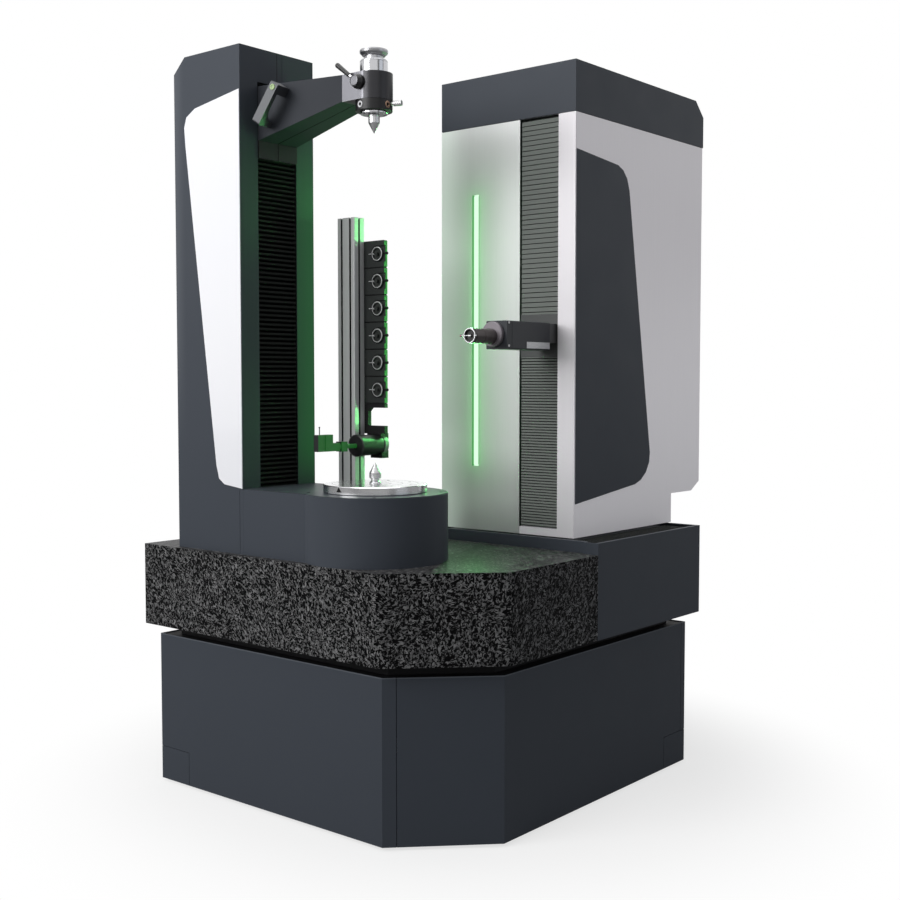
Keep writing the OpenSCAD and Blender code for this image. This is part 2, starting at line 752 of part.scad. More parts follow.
// A stylus module: magnetic disc with a hub, its bent stylus and ball
module stylus_disc(r, shank, back, hub = 4) {
    rotate([90, 0, 0]) {
        rotate_extrude()
            polygon([
                [r - 6, 0], [r - 1, 0], [r, 1], [r, 7], [r - 1, 8], [r - 5, 8], [r - 6, 7]
            ]);
        translate([0, 0, -back]) cylinder(r = r - 5, h = back + 3);
        translate([0, 0, 3]) cylinder(r = 6, h = hub);
    }
}
module parked_styli() color("lightgray") machine()
    for (i = [0:holder_n - 1])
        translate([cradle_x, holder_y + pocket_d - run_gap, holder_mid(i)]) {
            stylus_disc(module_r, 46, holder_t - pocket_d - 2, 9.5, $fn = 40);
            translate([-31, -10, 0]) rotate([0, 90, 0]) cylinder(r = 1.6, h = 31, $fn = 24);
            // grip pin with its knob beside the holder
            translate([module_r - 4, -3, 0]) rotate([0, 90, 0]) cylinder(r = 2, h = 17, $fn = 24);
            translate([38, -3, 0]) sphere(r = 5, $fn = 24);
        }

// C-shaped bracket under the holders; its lower arm carries the parked probe
bracket_z1 = granite_z1 + holder_z - 1;
bracket_h = 94;
barrel_r = 34;
barrel_y0 = 301;
barrel_len = 117;
barrel_x = holder_x + holder_w / 2;
barrel_z = bracket_z1 - bracket_h - barrel_r;
clamp_y1 = barrel_y0 + barrel_len + 0.3;
module rack_bracket() color([0.1, 0.1, 0.1]) machine()
    difference() {
        union() {
            span([holder_x - 25, holder_y, bracket_z1 - 13],
                 [holder_x + holder_w, holder_y + holder_t, bracket_z1]);
            span([holder_x - 25, holder_y, bracket_z1 - bracket_h],
                 [holder_x + 10, holder_y + holder_t, bracket_z1]);
            span([holder_x, holder_y, bracket_z1 - bracket_h],
                 [holder_x + holder_w, holder_y + holder_t, bracket_z1 - bracket_h + 25]);
            upright([
                [holder_x + 9, bracket_z1 - 12], [holder_x + 9, bracket_z1 - 25],
                [holder_x + 22, bracket_z1 - 12]
            ], holder_y, holder_y + holder_t);
            // clamp that holds the barrel's rear collar from above, behind and below
            span([barrel_x - 24, holder_y, barrel_z + 16],
                 [barrel_x + 24, clamp_y1 + 6, bracket_z1 - bracket_h + 1]);
            span([barrel_x - 22, clamp_y1, barrel_z - barrel_r - 8],
                 [barrel_x + 22, clamp_y1 + 6, barrel_z + 20]);
            span([barrel_x - 24, holder_y + 4, barrel_z - barrel_r - 8],
                 [barrel_x + 24, clamp_y1 + 6, barrel_z - 18]);
        }
        translate([barrel_x, holder_y - 1, barrel_z])
            rotate([-90, 0, 0]) cylinder(r = barrel_r + fit_gap, h = clamp_y1 - holder_y + 1);
    }

module parked_probe() color([0.12, 0.12, 0.13]) machine()
    translate([barrel_x, 0, barrel_z]) {
        translate([0, barrel_y0 + barrel_len, 0])
            rotate([90, 0, 0])
                rotate_extrude()
                    polygon([
                        [0, 0], [barrel_r - 2, 0], [barrel_r, 2], [barrel_r, 18], [barrel_r - 2, 20],
                        [barrel_r - 2, barrel_len - 20], [barrel_r, barrel_len - 18],
                        [barrel_r, barrel_len - 2], [barrel_r - 3, barrel_len], [0, barrel_len]
                    ]);
        translate([0, barrel_y0, 0]) rotate([90, 0, 0]) cylinder(r = 7, h = 50);
        span([-13, barrel_y0 - 72, -15], [13, barrel_y0 - 48, 15]);
        translate([0, barrel_y0 - 72, 0]) rotate([90, 0, 0]) cylinder(r = 11, h = 8);
        span([-12, barrel_y0 - 140, -12], [12, barrel_y0 - 79, 12]);
        span([-12, barrel_y0 - 140, -12], [12, barrel_y0 - 109, 38]);
        span([-10, barrel_y0 - 168, -12], [10, barrel_y0 - 140, 38]);
        translate([0, barrel_y0 - 154, 38]) cylinder(r = 1.5, h = 20);
        translate([0, barrel_y0 - 154, 60]) sphere(r = 2.5, $fn = 32);
    }

// Tailstock arm. Its near and far sides run from the recess to the head block.
head_y0 = table_y - head_r;
head_y1 = table_y + head_r;
head_x0 = table_x - 74;
arm_x0 = tail_x1 + 1;
arm_clear = 1;
arm_mid = function (x) table_y + (tail_mid_y - table_y) * (head_x0 - x) / (head_x0 - arm_x0);
function arm_plan(side, t) = side < 0
    ? [[arm_x0, recess_y0 + arm_clear + t], [head_x0, head_y0 + t],
       [head_x0, table_y - seam / 2], [arm_x0, tail_mid_y - seam / 2]]
    : [[arm_x0, tail_mid_y + seam / 2], [head_x0, table_y + seam / 2],
       [head_x0, head_y1 - t], [arm_x0, recess_y1 - arm_clear - t]];
arm_side = [
    [arm_x0, arm_z1 - arm_root_h], [head_x0, arm_z1 - arm_tip_h], [head_x0, arm_z1], [arm_x0, arm_z1]
];
arm_side_inner = [
    [arm_x0 - 1, arm_z1 - arm_root_h + shell_t], [head_x0 - shell_t, arm_z1 - arm_tip_h + shell_t],
    [head_x0 - shell_t, arm_z1 - shell_t], [arm_x0 - 1, arm_z1 - shell_t]
];
module arm_half(side) difference() {
    intersection() {
        slab(arm_plan(side, 0), arm_z1 - arm_root_h, arm_z1);
        upright(arm_side, recess_y0 - 20, recess_y1 + 40);
    }
    intersection() {
        slab([
            [arm_x0 - 1, tail_mid_y - side], [head_x0 - shell_t, table_y - side],
            [head_x0 - shell_t, side < 0 ? head_y0 + shell_t : head_y1 - shell_t],
            [arm_x0 - 1, side < 0 ? recess_y0 + arm_clear + shell_t : recess_y1 - arm_clear - shell_t]
        ], 0, arm_z1);
        upright(arm_side_inner, recess_y0 - 20, recess_y1 + 40);
    }
}
module arm_cover_front() color([0.2, 0.2, 0.22]) machine() arm_half(-1);
module arm_cover_rear() color([0.2, 0.2, 0.22]) machine() arm_half(1);

// Carriage: bearing blocks on the rails, plate in the recess and the spar inside the arm
block_len = 70;
module bearing_block(w, l, h, rail, rail_top) {
    // a block along Z on a rail that stands out along +X
    difference() {
        span([0, -w / 2, 0], [h, w / 2, l]);
        span([-1, -rail / 2 - 0.3, -1], [rail_top + 0.3, rail / 2 + 0.3, l + 1]);
    }
}
module tail_carriage() color([0.16, 0.16, 0.17]) machine() {
    plate_x0 = recess_x + 28;
    difference() {
        span([plate_x0, recess_y0 + arm_clear, carriage_z0], [arm_x0 + 3, recess_y1 - arm_clear, arm_z1]);
        upright([
            [arm_x0 - 0.3, arm_z1 - arm_root_h - 0.3], [arm_x0 + 10, arm_z1 - arm_root_h - 0.3],
            [arm_x0 + 10, arm_z1 + 1], [arm_x0 - 0.3, arm_z1 + 1]
        ], recess_y0, recess_y1);
        span([arm_x0 + 1, tail_mid_y - 0.8, carriage_z0 - 1],
             [arm_x0 + 4, tail_mid_y + 0.8, arm_z1 - arm_root_h]);
    }
    for (y = tail_rail_y)
        for (z = [carriage_z0 + 12, arm_z1 - block_len - 12])
            translate([recess_x + 2, y, z]) bearing_block(30, block_len, 27, tail_rail_w, rail_h - 2);
    // slider round the lift cylinder
    translate([0, 0, arm_z1 - 130]) difference() {
        span([recess_x + 0.6, tail_mid_y - 18, 0], [plate_x0 + 1, tail_mid_y + 18, 60]);
        translate([cylinder_x, tail_mid_y, -1]) cylinder(r = cylinder_r + fit_gap, h = 62);
    }
    // spar that carries the head
    upright([
        [arm_x0 - 1, arm_z1 - 120], [head_x0 - shell_t - 0.3, arm_z1 - 62],
        [head_x0 - shell_t - 0.3, arm_z1 - 12], [arm_x0 - 1, arm_z1 - 12]
    ], tail_mid_y - 8, tail_mid_y + 20);
}

// Head block: straight towards the arm, round nose, vertical bore for the quill sleeve
sleeve_r = 40;
head_z1 = arm_z1;
head_z0 = head_z1 - head_h;
lever_x = table_x - 7;
lever_z = arm_z1 - 29;
module tail_head() color([0.16, 0.16, 0.18]) machine()
    difference() {
        union() {
            translate([table_x, table_y, head_z0]) cylinder(r = head_r, h = head_h, $fn = 96);
            span([head_x0 + run_gap, head_y0, head_z0], [table_x, head_y1, head_z1]);
        }
        translate([table_x, table_y, head_z0 - 1])
            cylinder(r = quill_r + fit_gap, h = head_h + 2, $fn = 96);
        translate([table_x, table_y, head_z1 - 20]) cylinder(r = sleeve_r, h = 21, $fn = 96);
        // clamping bore for the lever's stud
        translate([lever_x, head_y0 - 1, lever_z]) rotate([-90, 0, 0]) cylinder(r = 5 + fit_gap, h = 24);
    }

// Black ring under the head, split for clamping, with two socket screws and a thumb screw
ring_screws = [-95, 0];
ring_h = 30;
module clamp_ring() color([0.08, 0.08, 0.08]) machine()
    translate([table_x, table_y, head_z0 - ring_h])
        difference() {
            union() {
                translate([0, 0, 1]) cylinder(r = head_r - 1, h = ring_h - 1, $fn = 96);
                cylinder(r1 = head_r - 2, r2 = head_r - 1, h = 1.01, $fn = 96);
                rotate([0, 0, 20]) translate([head_r - 8, 0, ring_h - 10]) rotate([0, 90, 0]) {
                    cylinder(r = 5, h = 18);
                    translate([0, 0, 15]) cylinder(r = 8, h = 24);
                }
                for (a = ring_screws)
                    rotate([0, 0, a]) translate([head_r - 10, 0, ring_h / 2]) rotate([0, 90, 0])
                        cylinder(r = 7, h = 9);
            }
            translate([0, 0, -1]) cylinder(r = quill_r + fit_gap, h = ring_h + 2, $fn = 96);
            for (a = ring_screws)
                rotate([0, 0, a]) translate([head_r - 8, 0, ring_h / 2]) rotate([0, 90, 0])
                    cylinder(r = 3.6, h = 10);
            rotate([0, 0, 90]) translate([0, -0.8, -1]) cube([head_r + 2, 1.6, ring_h + 2]);
        }

// Chrome sleeve over the head, in which the quill's top runs
sleeve_h = 39;
module quill_sleeve() color([0.85, 0.85, 0.87]) machine()
    translate([table_x, table_y, head_z1 - 20])
        rotate_extrude($fn = 96)
            polygon([
                [quill_r + 0.6, 0], [sleeve_r - fit_gap, 0], [sleeve_r - fit_gap, 20 + sleeve_h - 4],
                [sleeve_r - 3, 20 + sleeve_h], [quill_r + 0.6, 20 + sleeve_h]
            ]);

// Quill: long shaft through sleeve, head and ring, cap at the top, flanges at the bottom
cap_z = head_z1 + sleeve_h;
flange_z = head_z0 - ring_h;
tip_z = flange_z - 7;
module quill() color([0.82, 0.82, 0.84]) machine()
    translate([table_x, table_y, 0])
        difference() {
            rotate_extrude($fn = 96)
                polygon([
                    [0, tip_z], [30, tip_z], [31, tip_z + 1.5], [34, tip_z + 1.5], [35, tip_z],
                    [39, tip_z], [40, tip_z + 1], [40, flange_z - run_gap - 1],
                    [39, flange_z - run_gap], [quill_r, flange_z - run_gap], [quill_r, cap_z + 11],
                    [33, cap_z + 12], [40, cap_z + 19], [41, cap_z + 24], [40, cap_z + 28],
                    [10, cap_z + 28], [8, cap_z + 25], [0, cap_z + 25]
                ]);
            translate([0, 0, tip_z - 1]) cylinder(r = 12 + fit_gap, h = 6.5);
        }

// Live centre: spigot in the quill, collar and a point of 60 degrees
module live_centre() color([0.7, 0.7, 0.72]) machine()
    translate([table_x, table_y, 0])
        rotate_extrude($fn = 64)
            polygon([
                [0, tip_z - 53], [0.6, tip_z - 53], [16.3, tip_z - 24], [16.3, tip_z - 1.4],
                [15.5, tip_z - run_gap], [12, tip_z - run_gap], [12, tip_z + 5], [0, tip_z + 5]
            ]);

// Clamp lever: stud, knurled hub and a tapered handle that points up and to the left
module clamp_lever() color([0.1, 0.1, 0.1]) machine()
    translate([lever_x, head_y0, lever_z]) {
        rotate([-90, 0, 0]) cylinder(r = 5, h = 20);
        rotate([90, 0, 0]) translate([0, 0, run_gap]) rotate_extrude(convexity = 4)
            polygon([
                [0, 0], [20, 0], [20.5, 1], [20.5, 8], [19, 10], [16, 20], [15, 22], [13, 22.5],
                [12, 21.5], [0, 21.5]
            ]);
        translate([0, -13, 0]) rotate([0, -53, 0]) {
            cylinder(r = 4, h = 36);
            translate([0, 0, 32]) cylinder(r1 = 6, r2 = 7.4, h = 58);
            translate([0, 0, 90]) cylinder(r1 = 7.4, r2 = 6, h = 3);
        }
    }

// Bow handle on the near side of the arm: a flat bar with a square upper standoff, whose
// lower end sweeps back to the arm in one round
near_angle = atan2(head_y0 - recess_y0 - arm_clear, head_x0 - arm_x0);
handle_l = 128;
handle_w = 28;
handle_reach = 56;
handle_t = 16;
handle_bow = handle_reach - handle_t;
module grab_handle() color([0.12, 0.12, 0.13]) machine()
    translate([arm_x0, recess_y0 + arm_clear, 0]) rotate([0, 0, near_angle])
        translate([100, -run_gap, arm_z1 - 12]) rotate([0, 33, 0])
            translate([-handle_w / 2, 0, 0]) rotate([0, 90, 0])
                linear_extrude(handle_w)
                    difference() {
                        polygon([
                            [0, 0], [0, -handle_reach + 3], [3, -handle_reach],
                            [handle_l - 4, -handle_reach], [handle_l, -handle_reach + 4],
                            [handle_l, 0]
                        ]);
                        translate([28, -handle_bow])
                            square([handle_l - 16 - handle_bow - 28, handle_bow + 1]);
                        intersection() {
                            translate([handle_l - 16 - handle_bow, 0]) circle(handle_bow, $fn = 96);
                            translate([28, -handle_bow]) square([handle_l, handle_bow + 1]);
                        }
                        translate([handle_l - 16 - handle_bow - 1, 0]) square([handle_bow + 1, 1]);
                    }

// X saddle: apron in the rear cover, blocks on the rails, raised bed for the Y rails
saddle_y0 = cover_y0;
saddle_y1 = cover_y1;
saddle_z0 = granite_z1 + rail_h + 3;
saddle_top = rim_z + 30;
bed_y0 = col_y0 + 72;
bed_y1 = col_y0 + foot_d - 176;
module x_saddle() color("gray") machine() {
    span([col_x0, saddle_y0, saddle_z0], [col_x1, saddle_y1, saddle_z0 + 14]);
    for (y = x_rail_y)
        for (x = [col_x0 + 40, col_x1 - 140])
            difference() {
                span([x, y - rail_w, granite_z1 + 1.5], [x + 100, y + rail_w, saddle_z0 + 1]);
                span([x - 1, y - rail_w / 2 - 0.3, granite_z1],
                    [x + 101, y + rail_w / 2 + 0.3, granite_z1 + rail_h + 0.3]);
            }
    span([col_x0 + 160, track_y - 55, granite_z1 + 6], [col_x1 - 160, track_y + 55, saddle_z0 + 1]);
    span([col_x0 + 40, bed_y0, saddle_z0 + 13], [col_x1 - 40, bed_y1, saddle_top]);
}

y_rail_x = [col_x0 + 90, col_x1 - 90];
col_mid_x = (col_x0 + col_x1) / 2;
module y_guide_rails() color("silver") machine() {
    for (x = y_rail_x)
        span([x - rail_w / 2, bed_y0, saddle_top], [x + rail_w / 2, bed_y1, saddle_top + rail_h]);
    span([col_mid_x - 60, bed_y0, saddle_top], [col_mid_x + 60, bed_y1, saddle_top + 5]);
}

// Measuring column
z_face_y = col_y0 + 66;
casting_z0 = saddle_top + rail_h + 6;
module column_casting() color("gray") machine() {
    x0 = col_x0 + 24;
    x1 = col_x1 - 24;
    y1 = col_y0 + 560;
    difference() {
        span([x0, z_face_y, casting_z0], [x1, y1, col_z1 - 70]);
        span([x0 + wall_t, z_face_y + wall_t, casting_z0 + 40], [x1 - wall_t, y1 - wall_t, col_z1 - 69]);
    }
    // shoes on the Y rails, motor coil between them and the ledge over the way covers
    for (x = y_rail_x)
        for (y = [bed_y0 + 172, bed_y0 + 240])
            difference() {
                span([x - rail_w, y, saddle_top + 1.5], [x + rail_w, y + 60, casting_z0 + 1]);
                span([x - rail_w / 2 - 0.3, y - 1, saddle_top],
                     [x + rail_w / 2 + 0.3, y + 61, saddle_top + rail_h + 0.3]);
            }
    span([col_mid_x - 50, bed_y0 + 172, saddle_top + 6], [col_mid_x + 50, bed_y0 + 300, casting_z0 + 1]);
    span([slide_x0, col_y0 + 6, cap_z0 - 1], [slide_x1, z_face_y + 1, cap_z0 + 14]);
    // stays that carry the covers
    for (z = [col_z0 + 260, col_z1 - 260])
        span([col_x0 + sheet, z_face_y + 20, z], [col_x1 - sheet, y1 - 20, z + 40]);
    for (z = [col_z0 + 260, col_z1 - 260])
        span([x0 + 60, y1 - 20, z], [x1 - 60, col_y1 - sheet, z + 40]);
    for (x = [col_x0 + 60, slide_x0 - 60])
        span([x, col_y0 + sheet, col_z0 + 500], [x + 30, z_face_y + 20, col_z0 + 540]);
    span([col_x0 + 60, z_face_y, col_z1 - 71], [col_x0 + 120, y1, col_z1 - sheet]);
    span([col_x1 - 120, z_face_y, col_z1 - 71], [col_x1 - 60, y1, col_z1 - sheet]);
}

// Side outline of the column in the Y-Z plane, moved inwards by t
overhang_z = col_z0 + 98;
overhang_bevel = 34;
overhang_bevel_y = 61;
function column_side(t) = [
    [col_y0 + t, col_z0], [col_y0 + foot_d - t, col_z0], [col_y0 + foot_d - t, overhang_z + t],
    [col_y1 - overhang_bevel_y - 0.3 * t, overhang_z + t],
        [col_y1 - t, overhang_z + overhang_bevel + 0.5 * t],
    [col_y1 - t, col_z1 - cap_bevel - 0.4 * t], [col_y1 - 54 - 0.4 * t, col_z1 - t],
        [col_y0 + t, col_z1 - t]
];
module sideways(points, x0, x1)
    translate([x0, 0, 0]) rotate([90, 0, 90]) linear_extrude(x1 - x0) polygon(points);

module column_shell() difference() {
    sideways(column_side(0), col_x0, col_x1);
    sideways(column_side(sheet), col_x0 + sheet, col_x1 - sheet);
    span([col_x0 + sheet, col_y0 + sheet, col_z0 - 1],
        [col_x1 - sheet, col_y0 + foot_d - sheet, overhang_z]);
    // recess of the upright way covers, above its sill
    span([slide_x0, col_y0 - 1, sill_z], [slide_x1, col_y0 + 2 * sheet, cap_z0]);
}

module column_cap() color([0.22, 0.23, 0.26]) machine()
    intersection() {
        column_shell();
        span([col_x0, col_y0 - 1, cap_z0], [col_x1, col_y1, col_z1]);
    }

module column_front_panel() color([0.72, 0.72, 0.73]) machine()
    difference() {
        intersection() {
            column_shell();
            span([col_x0, col_y0 - 1, col_z0], [slide_x0 - seam / 2, col_y0 + sheet, cap_z0 - seam]);
        }
        // slot of the light strip
        span([light_x - 5, col_y0 - 1, rim_z + light_z - 5],
             [light_x + light_w + 1, col_y0 + 2 * sheet, rim_z + light_z + light_len + 5]);
    }

module column_side_panel() color([0.7, 0.7, 0.71]) machine() {
    intersection() {
        column_shell();
        union() {
            span([slide_x0 + seam / 2, col_y0 - 1, col_z0], [col_x1 - 1, col_y0 + sheet, cap_z0 - seam]);
            span([col_x1 - sheet, col_y0 - 1, col_z0], [col_x1 + 1, col_y1 - 2 * sheet, cap_z0 - seam]);
        }
    }
    // lip of the sill, on which the lower way cover ends
    span([slide_x0 + 1, col_y0, sill_z - sheet], [slide_x1, col_y0 + 6 + pleat_depth, sill_z]);
}

module column_rear_panel() color([0.6, 0.6, 0.61]) machine()
    intersection() {
        column_shell();
        union() {
            span([col_x0 - 1, col_y0 + sheet + seam, col_z0], [col_x0 + sheet, col_y1, cap_z0 - seam]);
            span([col_x0 - 1, col_y0 + foot_d - sheet, col_z0],
                [col_x1 - sheet - seam, col_y1, cap_z0 - seam]);
        }
    }

// Dark side inset: bevelled at its upper and lower rear corners, which are rounded
inset_t = 2;
side_inset = [
    [col_y0 + inset_y, rim_z + 106], [col_y0 + 352, rim_z + 146], [col_y0 + 388, rim_z + 158],
    [col_y0 + 420, rim_z + 182], [col_y0 + 440, rim_z + 214], [col_y0 + 444, rim_z + 246],
    [col_y0 + 304, rim_z + 1086], [col_y0 + 290, rim_z + 1122], [col_y0 + 266, rim_z + 1146],
    [col_y0 + 236, rim_z + 1158], [col_y0 + inset_y, rim_z + 1178]
];
module side_inset_panel() color([0.2, 0.21, 0.24]) machine()
    sideways(side_inset, col_x1, col_x1 + inset_t);

// Light strip in the slot, on a carrier that is screwed behind the front panel
module light_strip() color([0.6, 1, 0.6]) machine() {
    z0 = rim_z + light_z;
    span([light_x, col_y0 + 1.5, z0], [light_x + light_w, col_y0 + sheet + 1, z0 + light_len]);
    span([light_x - 16, col_y0 + sheet, z0 - 16],
         [light_x + light_w + 12, col_y0 + sheet + 9, z0 + light_len + 16]);
}

z_rail_x = [slide_x0 + 22, slide_x1 - 22];
z_rail_w = 20;
module z_guideways() color("silver") machine() {
    for (x = z_rail_x)
        span([x - z_rail_w / 2, z_face_y - rail_h, sill_z + 60], [x + z_rail_w / 2, z_face_y, cap_z0 - 10]);
    span([slide_x0 + 50, z_face_y - 4, sill_z + 60], [slide_x1 - 50, z_face_y, cap_z0 - 10]);
}

slide_z0 = probe_axis_z - 56;
slide_z1 = slide_z0 + slide_plate_h;
module z_bellows(z0, z1)
    translate([slide_x0 + 1, col_y0 + 6, 0]) rotate([0, 0, -90])
        translate([0, slide_w - 2, 0]) upright_bellows(z0, z1, slide_w - 2, pleat_depth, z_pleat);
module z_upper_bellows() color([0.3, 0.3, 0.3]) machine() z_bellows(slide_z1 + run_gap, cap_z0 - 1);
module z_lower_bellows() color([0.12, 0.12, 0.12]) machine() z_bellows(sill_z, slide_z0 - run_gap);

// Z carriage: plate in the recess, bearing blocks behind it and the neck of the arm
probe_arm_x1 = slide_x1 - 5;
probe_arm_x0 = probe_arm_x1 - arm_w;
neck_y = col_y0 - neck_len;
module z_carriage() color([0.14, 0.14, 0.15]) machine() {
    span([slide_x0 + 2, col_y0 + 4, slide_z0], [slide_x1 - 2, col_y0 + 24, slide_z1]);
    span([probe_arm_x0 + 6, neck_y, probe_axis_z - 14], [probe_arm_x1 - 2, col_y0 + 5, probe_axis_z + 44]);
    for (x = z_rail_x)
        for (z = [slide_z0 + 2, slide_z1 - 52])
            difference() {
                span([x - 16, col_y0 + 23, z], [x + 16, z_face_y - 2, z + 50]);
                span([x - z_rail_w / 2 - 0.3, z_face_y - rail_h - 0.3, z - 1],
                     [x + z_rail_w / 2 + 0.3, z_face_y, z + 51]);
            }
    span([slide_x0 + 56, col_y0 + 23, slide_z0 + 8], [slide_x1 - 56, z_face_y - 5, slide_z1 - 8]);
}

// Probe arm: rounded housing with a bore for the probe and a bare plate on its side
probe_x = probe_arm_x0 + probe_off;
arm_end_y = neck_y - probe_arm_len;
module probe_arm() color([0.14, 0.14, 0.15]) machine()
    difference() {
        union() {
            translate([probe_arm_x0, neck_y, probe_axis_z - 37])
                rotate([90, 0, 0]) linear_extrude(probe_arm_len) rounded_rect(arm_w, probe_arm_h, 3);
            span([probe_arm_x1 - 1, neck_y - 119, probe_axis_z - 33],
                 [probe_arm_x1 + 1.2, neck_y - 2, probe_axis_z - 14]);
        }
        translate([probe_x, arm_end_y - 1, probe_axis_z]) rotate([-90, 0, 0])
            cylinder(r = 18 + fit_gap, h = 80);
        span([probe_arm_x0 - 1, arm_end_y + 24, probe_axis_z - 38],
             [probe_arm_x0 + 0.8, arm_end_y + 25.4, probe_axis_z + 50]);
        span([probe_arm_x1 - 0.8, arm_end_y + 24, probe_axis_z - 38],
             [probe_arm_x1 + 1, arm_end_y + 25.4, probe_axis_z + 50]);
    }

// Probe body: wide flange on the arm's end, barrel with a groove, seat of the stylus module
flange_r = 37;
module probe_body() color([0.35, 0.35, 0.37]) machine()
    translate([probe_x, arm_end_y, probe_axis_z])
        rotate([90, 0, 0]) {
            rotate_extrude($fn = 96)
                polygon([
                    [0, -70], [18, -70], [18, 0], [23, 0], [23, 30], [22, 31], [22, 62], [20.5, 63],
                    [20.5, 66], [22, 67], [22, probe_len - 13 - run_gap],
                    [21, probe_len - 12 - run_gap], [0, probe_len - 12 - run_gap]
                ]);
            translate([1, 6.5, 0]) rotate_extrude($fn = 96)
                polygon([[0, 0], [flange_r, 0], [flange_r, 10], [flange_r - 2, 12], [0, 12]]);
        }

// Stylus module on the probe: magnetic disc, bent stylus and ruby ball
module stylus_module() color("lightgray") machine()
    translate([probe_x, arm_end_y - probe_len + 12, probe_axis_z]) {
        rotate([90, 0, 0]) {
            rotate_extrude($fn = 96)
                polygon([
                    [0, 0], [probe_r - 1, 0], [probe_r, 1], [probe_r, 11], [probe_r - 1, 12],
                    [probe_r - 5, 12], [probe_r - 6, 11], [probe_r - 6, 6], [0, 6]
                ]);
            translate([0, 0, 5]) cylinder(r = 5, h = 7);
        }
        translate([0, -9, 0]) rotate([0, -90, 0]) cylinder(r = 1.6, h = ball_off - 2);
        translate([-ball_off, -9, 0]) sphere(r = ball_r, $fn = 48);
    }

levelling_feet();
base_frame();
base_front_panel();
base_side_panel();
base_left_panel();
base_rear_panel();
corner_access_covers();
isolators();
shadow_skirt();
controller_unit();
granite_bed();
rear_cover();
x_guideways();
x_bellows_left();
x_bellows_right();
table_housing();
housing_top_plate();
table_bearing();
tail_column_casting();
tail_column_cover();
tail_side_panel();
tail_guide_rails();
tail_lift_cylinder();
tail_lower_bellows();
tail_upper_bellows();
rack_post();
rack_foot();
stylus_holders();
parked_styli();
rack_bracket();
parked_probe();
face_plate();
table_spindle();
lower_centre();
tail_carriage();
arm_cover_front();
arm_cover_rear();
tail_head();
grab_handle();
clamp_ring();
quill_sleeve();
quill();
live_centre();
clamp_lever();
x_saddle();
y_guide_rails();
column_casting();
column_cap();
column_front_panel();
column_side_panel();
side_inset_panel();
column_rear_panel();
light_strip();
z_guideways();
z_upper_bellows();
z_lower_bellows();
z_carriage();
probe_arm();
probe_body();
stylus_module();
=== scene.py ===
# %% [markdown]
# # A gear measuring machine
# The real machine stands in a measuring room: a steel cabinet carries a slab of black
# granite, a rotary table turns the gear, a tailstock holds it from above, and a tall column
# brings a fine stylus up to the teeth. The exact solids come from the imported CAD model, so
# this lesson dresses them: it gives each one its finish, replaces the soft way covers by
# pleated cloth, adds small screws, and lights the whole as a studio would.

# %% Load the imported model
import bpy
import bmesh
import json
import math
from mathutils import Matrix, Vector

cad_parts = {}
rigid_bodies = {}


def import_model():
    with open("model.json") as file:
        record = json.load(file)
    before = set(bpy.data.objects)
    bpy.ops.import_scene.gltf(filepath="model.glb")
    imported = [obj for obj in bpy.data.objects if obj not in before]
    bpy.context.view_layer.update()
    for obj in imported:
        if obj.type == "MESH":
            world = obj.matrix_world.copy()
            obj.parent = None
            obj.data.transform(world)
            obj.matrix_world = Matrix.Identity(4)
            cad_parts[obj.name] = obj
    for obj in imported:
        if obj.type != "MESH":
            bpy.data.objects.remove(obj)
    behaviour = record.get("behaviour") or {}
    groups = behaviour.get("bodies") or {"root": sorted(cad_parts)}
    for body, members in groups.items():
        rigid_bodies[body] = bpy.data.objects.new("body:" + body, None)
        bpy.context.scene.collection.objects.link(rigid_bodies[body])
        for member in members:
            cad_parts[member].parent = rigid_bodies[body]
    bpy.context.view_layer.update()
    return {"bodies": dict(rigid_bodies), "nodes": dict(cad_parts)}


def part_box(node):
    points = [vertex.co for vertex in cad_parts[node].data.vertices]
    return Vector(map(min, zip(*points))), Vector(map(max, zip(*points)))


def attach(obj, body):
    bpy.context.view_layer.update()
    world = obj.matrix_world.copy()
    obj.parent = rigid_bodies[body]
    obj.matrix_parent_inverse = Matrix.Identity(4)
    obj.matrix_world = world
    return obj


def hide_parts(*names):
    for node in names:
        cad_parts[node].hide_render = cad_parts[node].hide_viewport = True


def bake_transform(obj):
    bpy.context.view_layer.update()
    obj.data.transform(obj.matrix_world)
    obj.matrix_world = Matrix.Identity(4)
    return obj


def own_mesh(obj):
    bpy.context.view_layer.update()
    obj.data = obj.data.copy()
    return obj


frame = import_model()
nodes = frame["nodes"]

# %% [markdown]
# ## The camera
# The camera stands to the right of the table, a little above the granite, with a normal
# lens. The place was found from the vanishing lines of the columns and the cabinet, so the
# solids fall on the same outlines as in the picture.

# %% Camera
camera_data = bpy.data.cameras.new("camera")
camera_data.lens = 50
camera_data.sensor_width = 36
camera = bpy.data.objects.new("camera", camera_data)
camera.location = (2.6428, -3.1885, 1.285)
camera.rotation_euler = (math.radians(90 - 3.156), 0, math.radians(39.622))
bpy.context.scene.collection.objects.link(camera)
bpy.context.scene.camera = camera
print("camera at", tuple(camera.location))

# %% [markdown]
# ## Main places
# Every coordinate is in metres in the machine's own frame. A few axes come back again and
# again: the axis of the rotary table, which both centres share, the axis of the probe, the
# hub of the clamp lever, and the lowest of the six cradles that hold the parked modules.

# %% Axes and levels
TABLE = Vector((0.174, -0.546, 0))
TAIL_MID = -0.585
STYLUS_LOW, STYLUS_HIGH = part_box("stylus_module")
PROBE = Vector((STYLUS_HIGH.x - 0.022, 0, 1.415))
BALL = Vector((STYLUS_LOW.x + 0.0025, STYLUS_LOW.y, PROBE.z))
LEVER = Vector((0.167, -0.6, 2.127))
CRADLE = Vector((-0.013, -0.334, 1.258))
CRADLE_PITCH = 0.084
COLUMN_FRONT = -0.032
LENS_X = 0.1385
LENS_Z = (1.017, 1.873)
print("probe axis x", round(PROBE.x, 4), "stylus front y", round(STYLUS_LOW.y, 4))

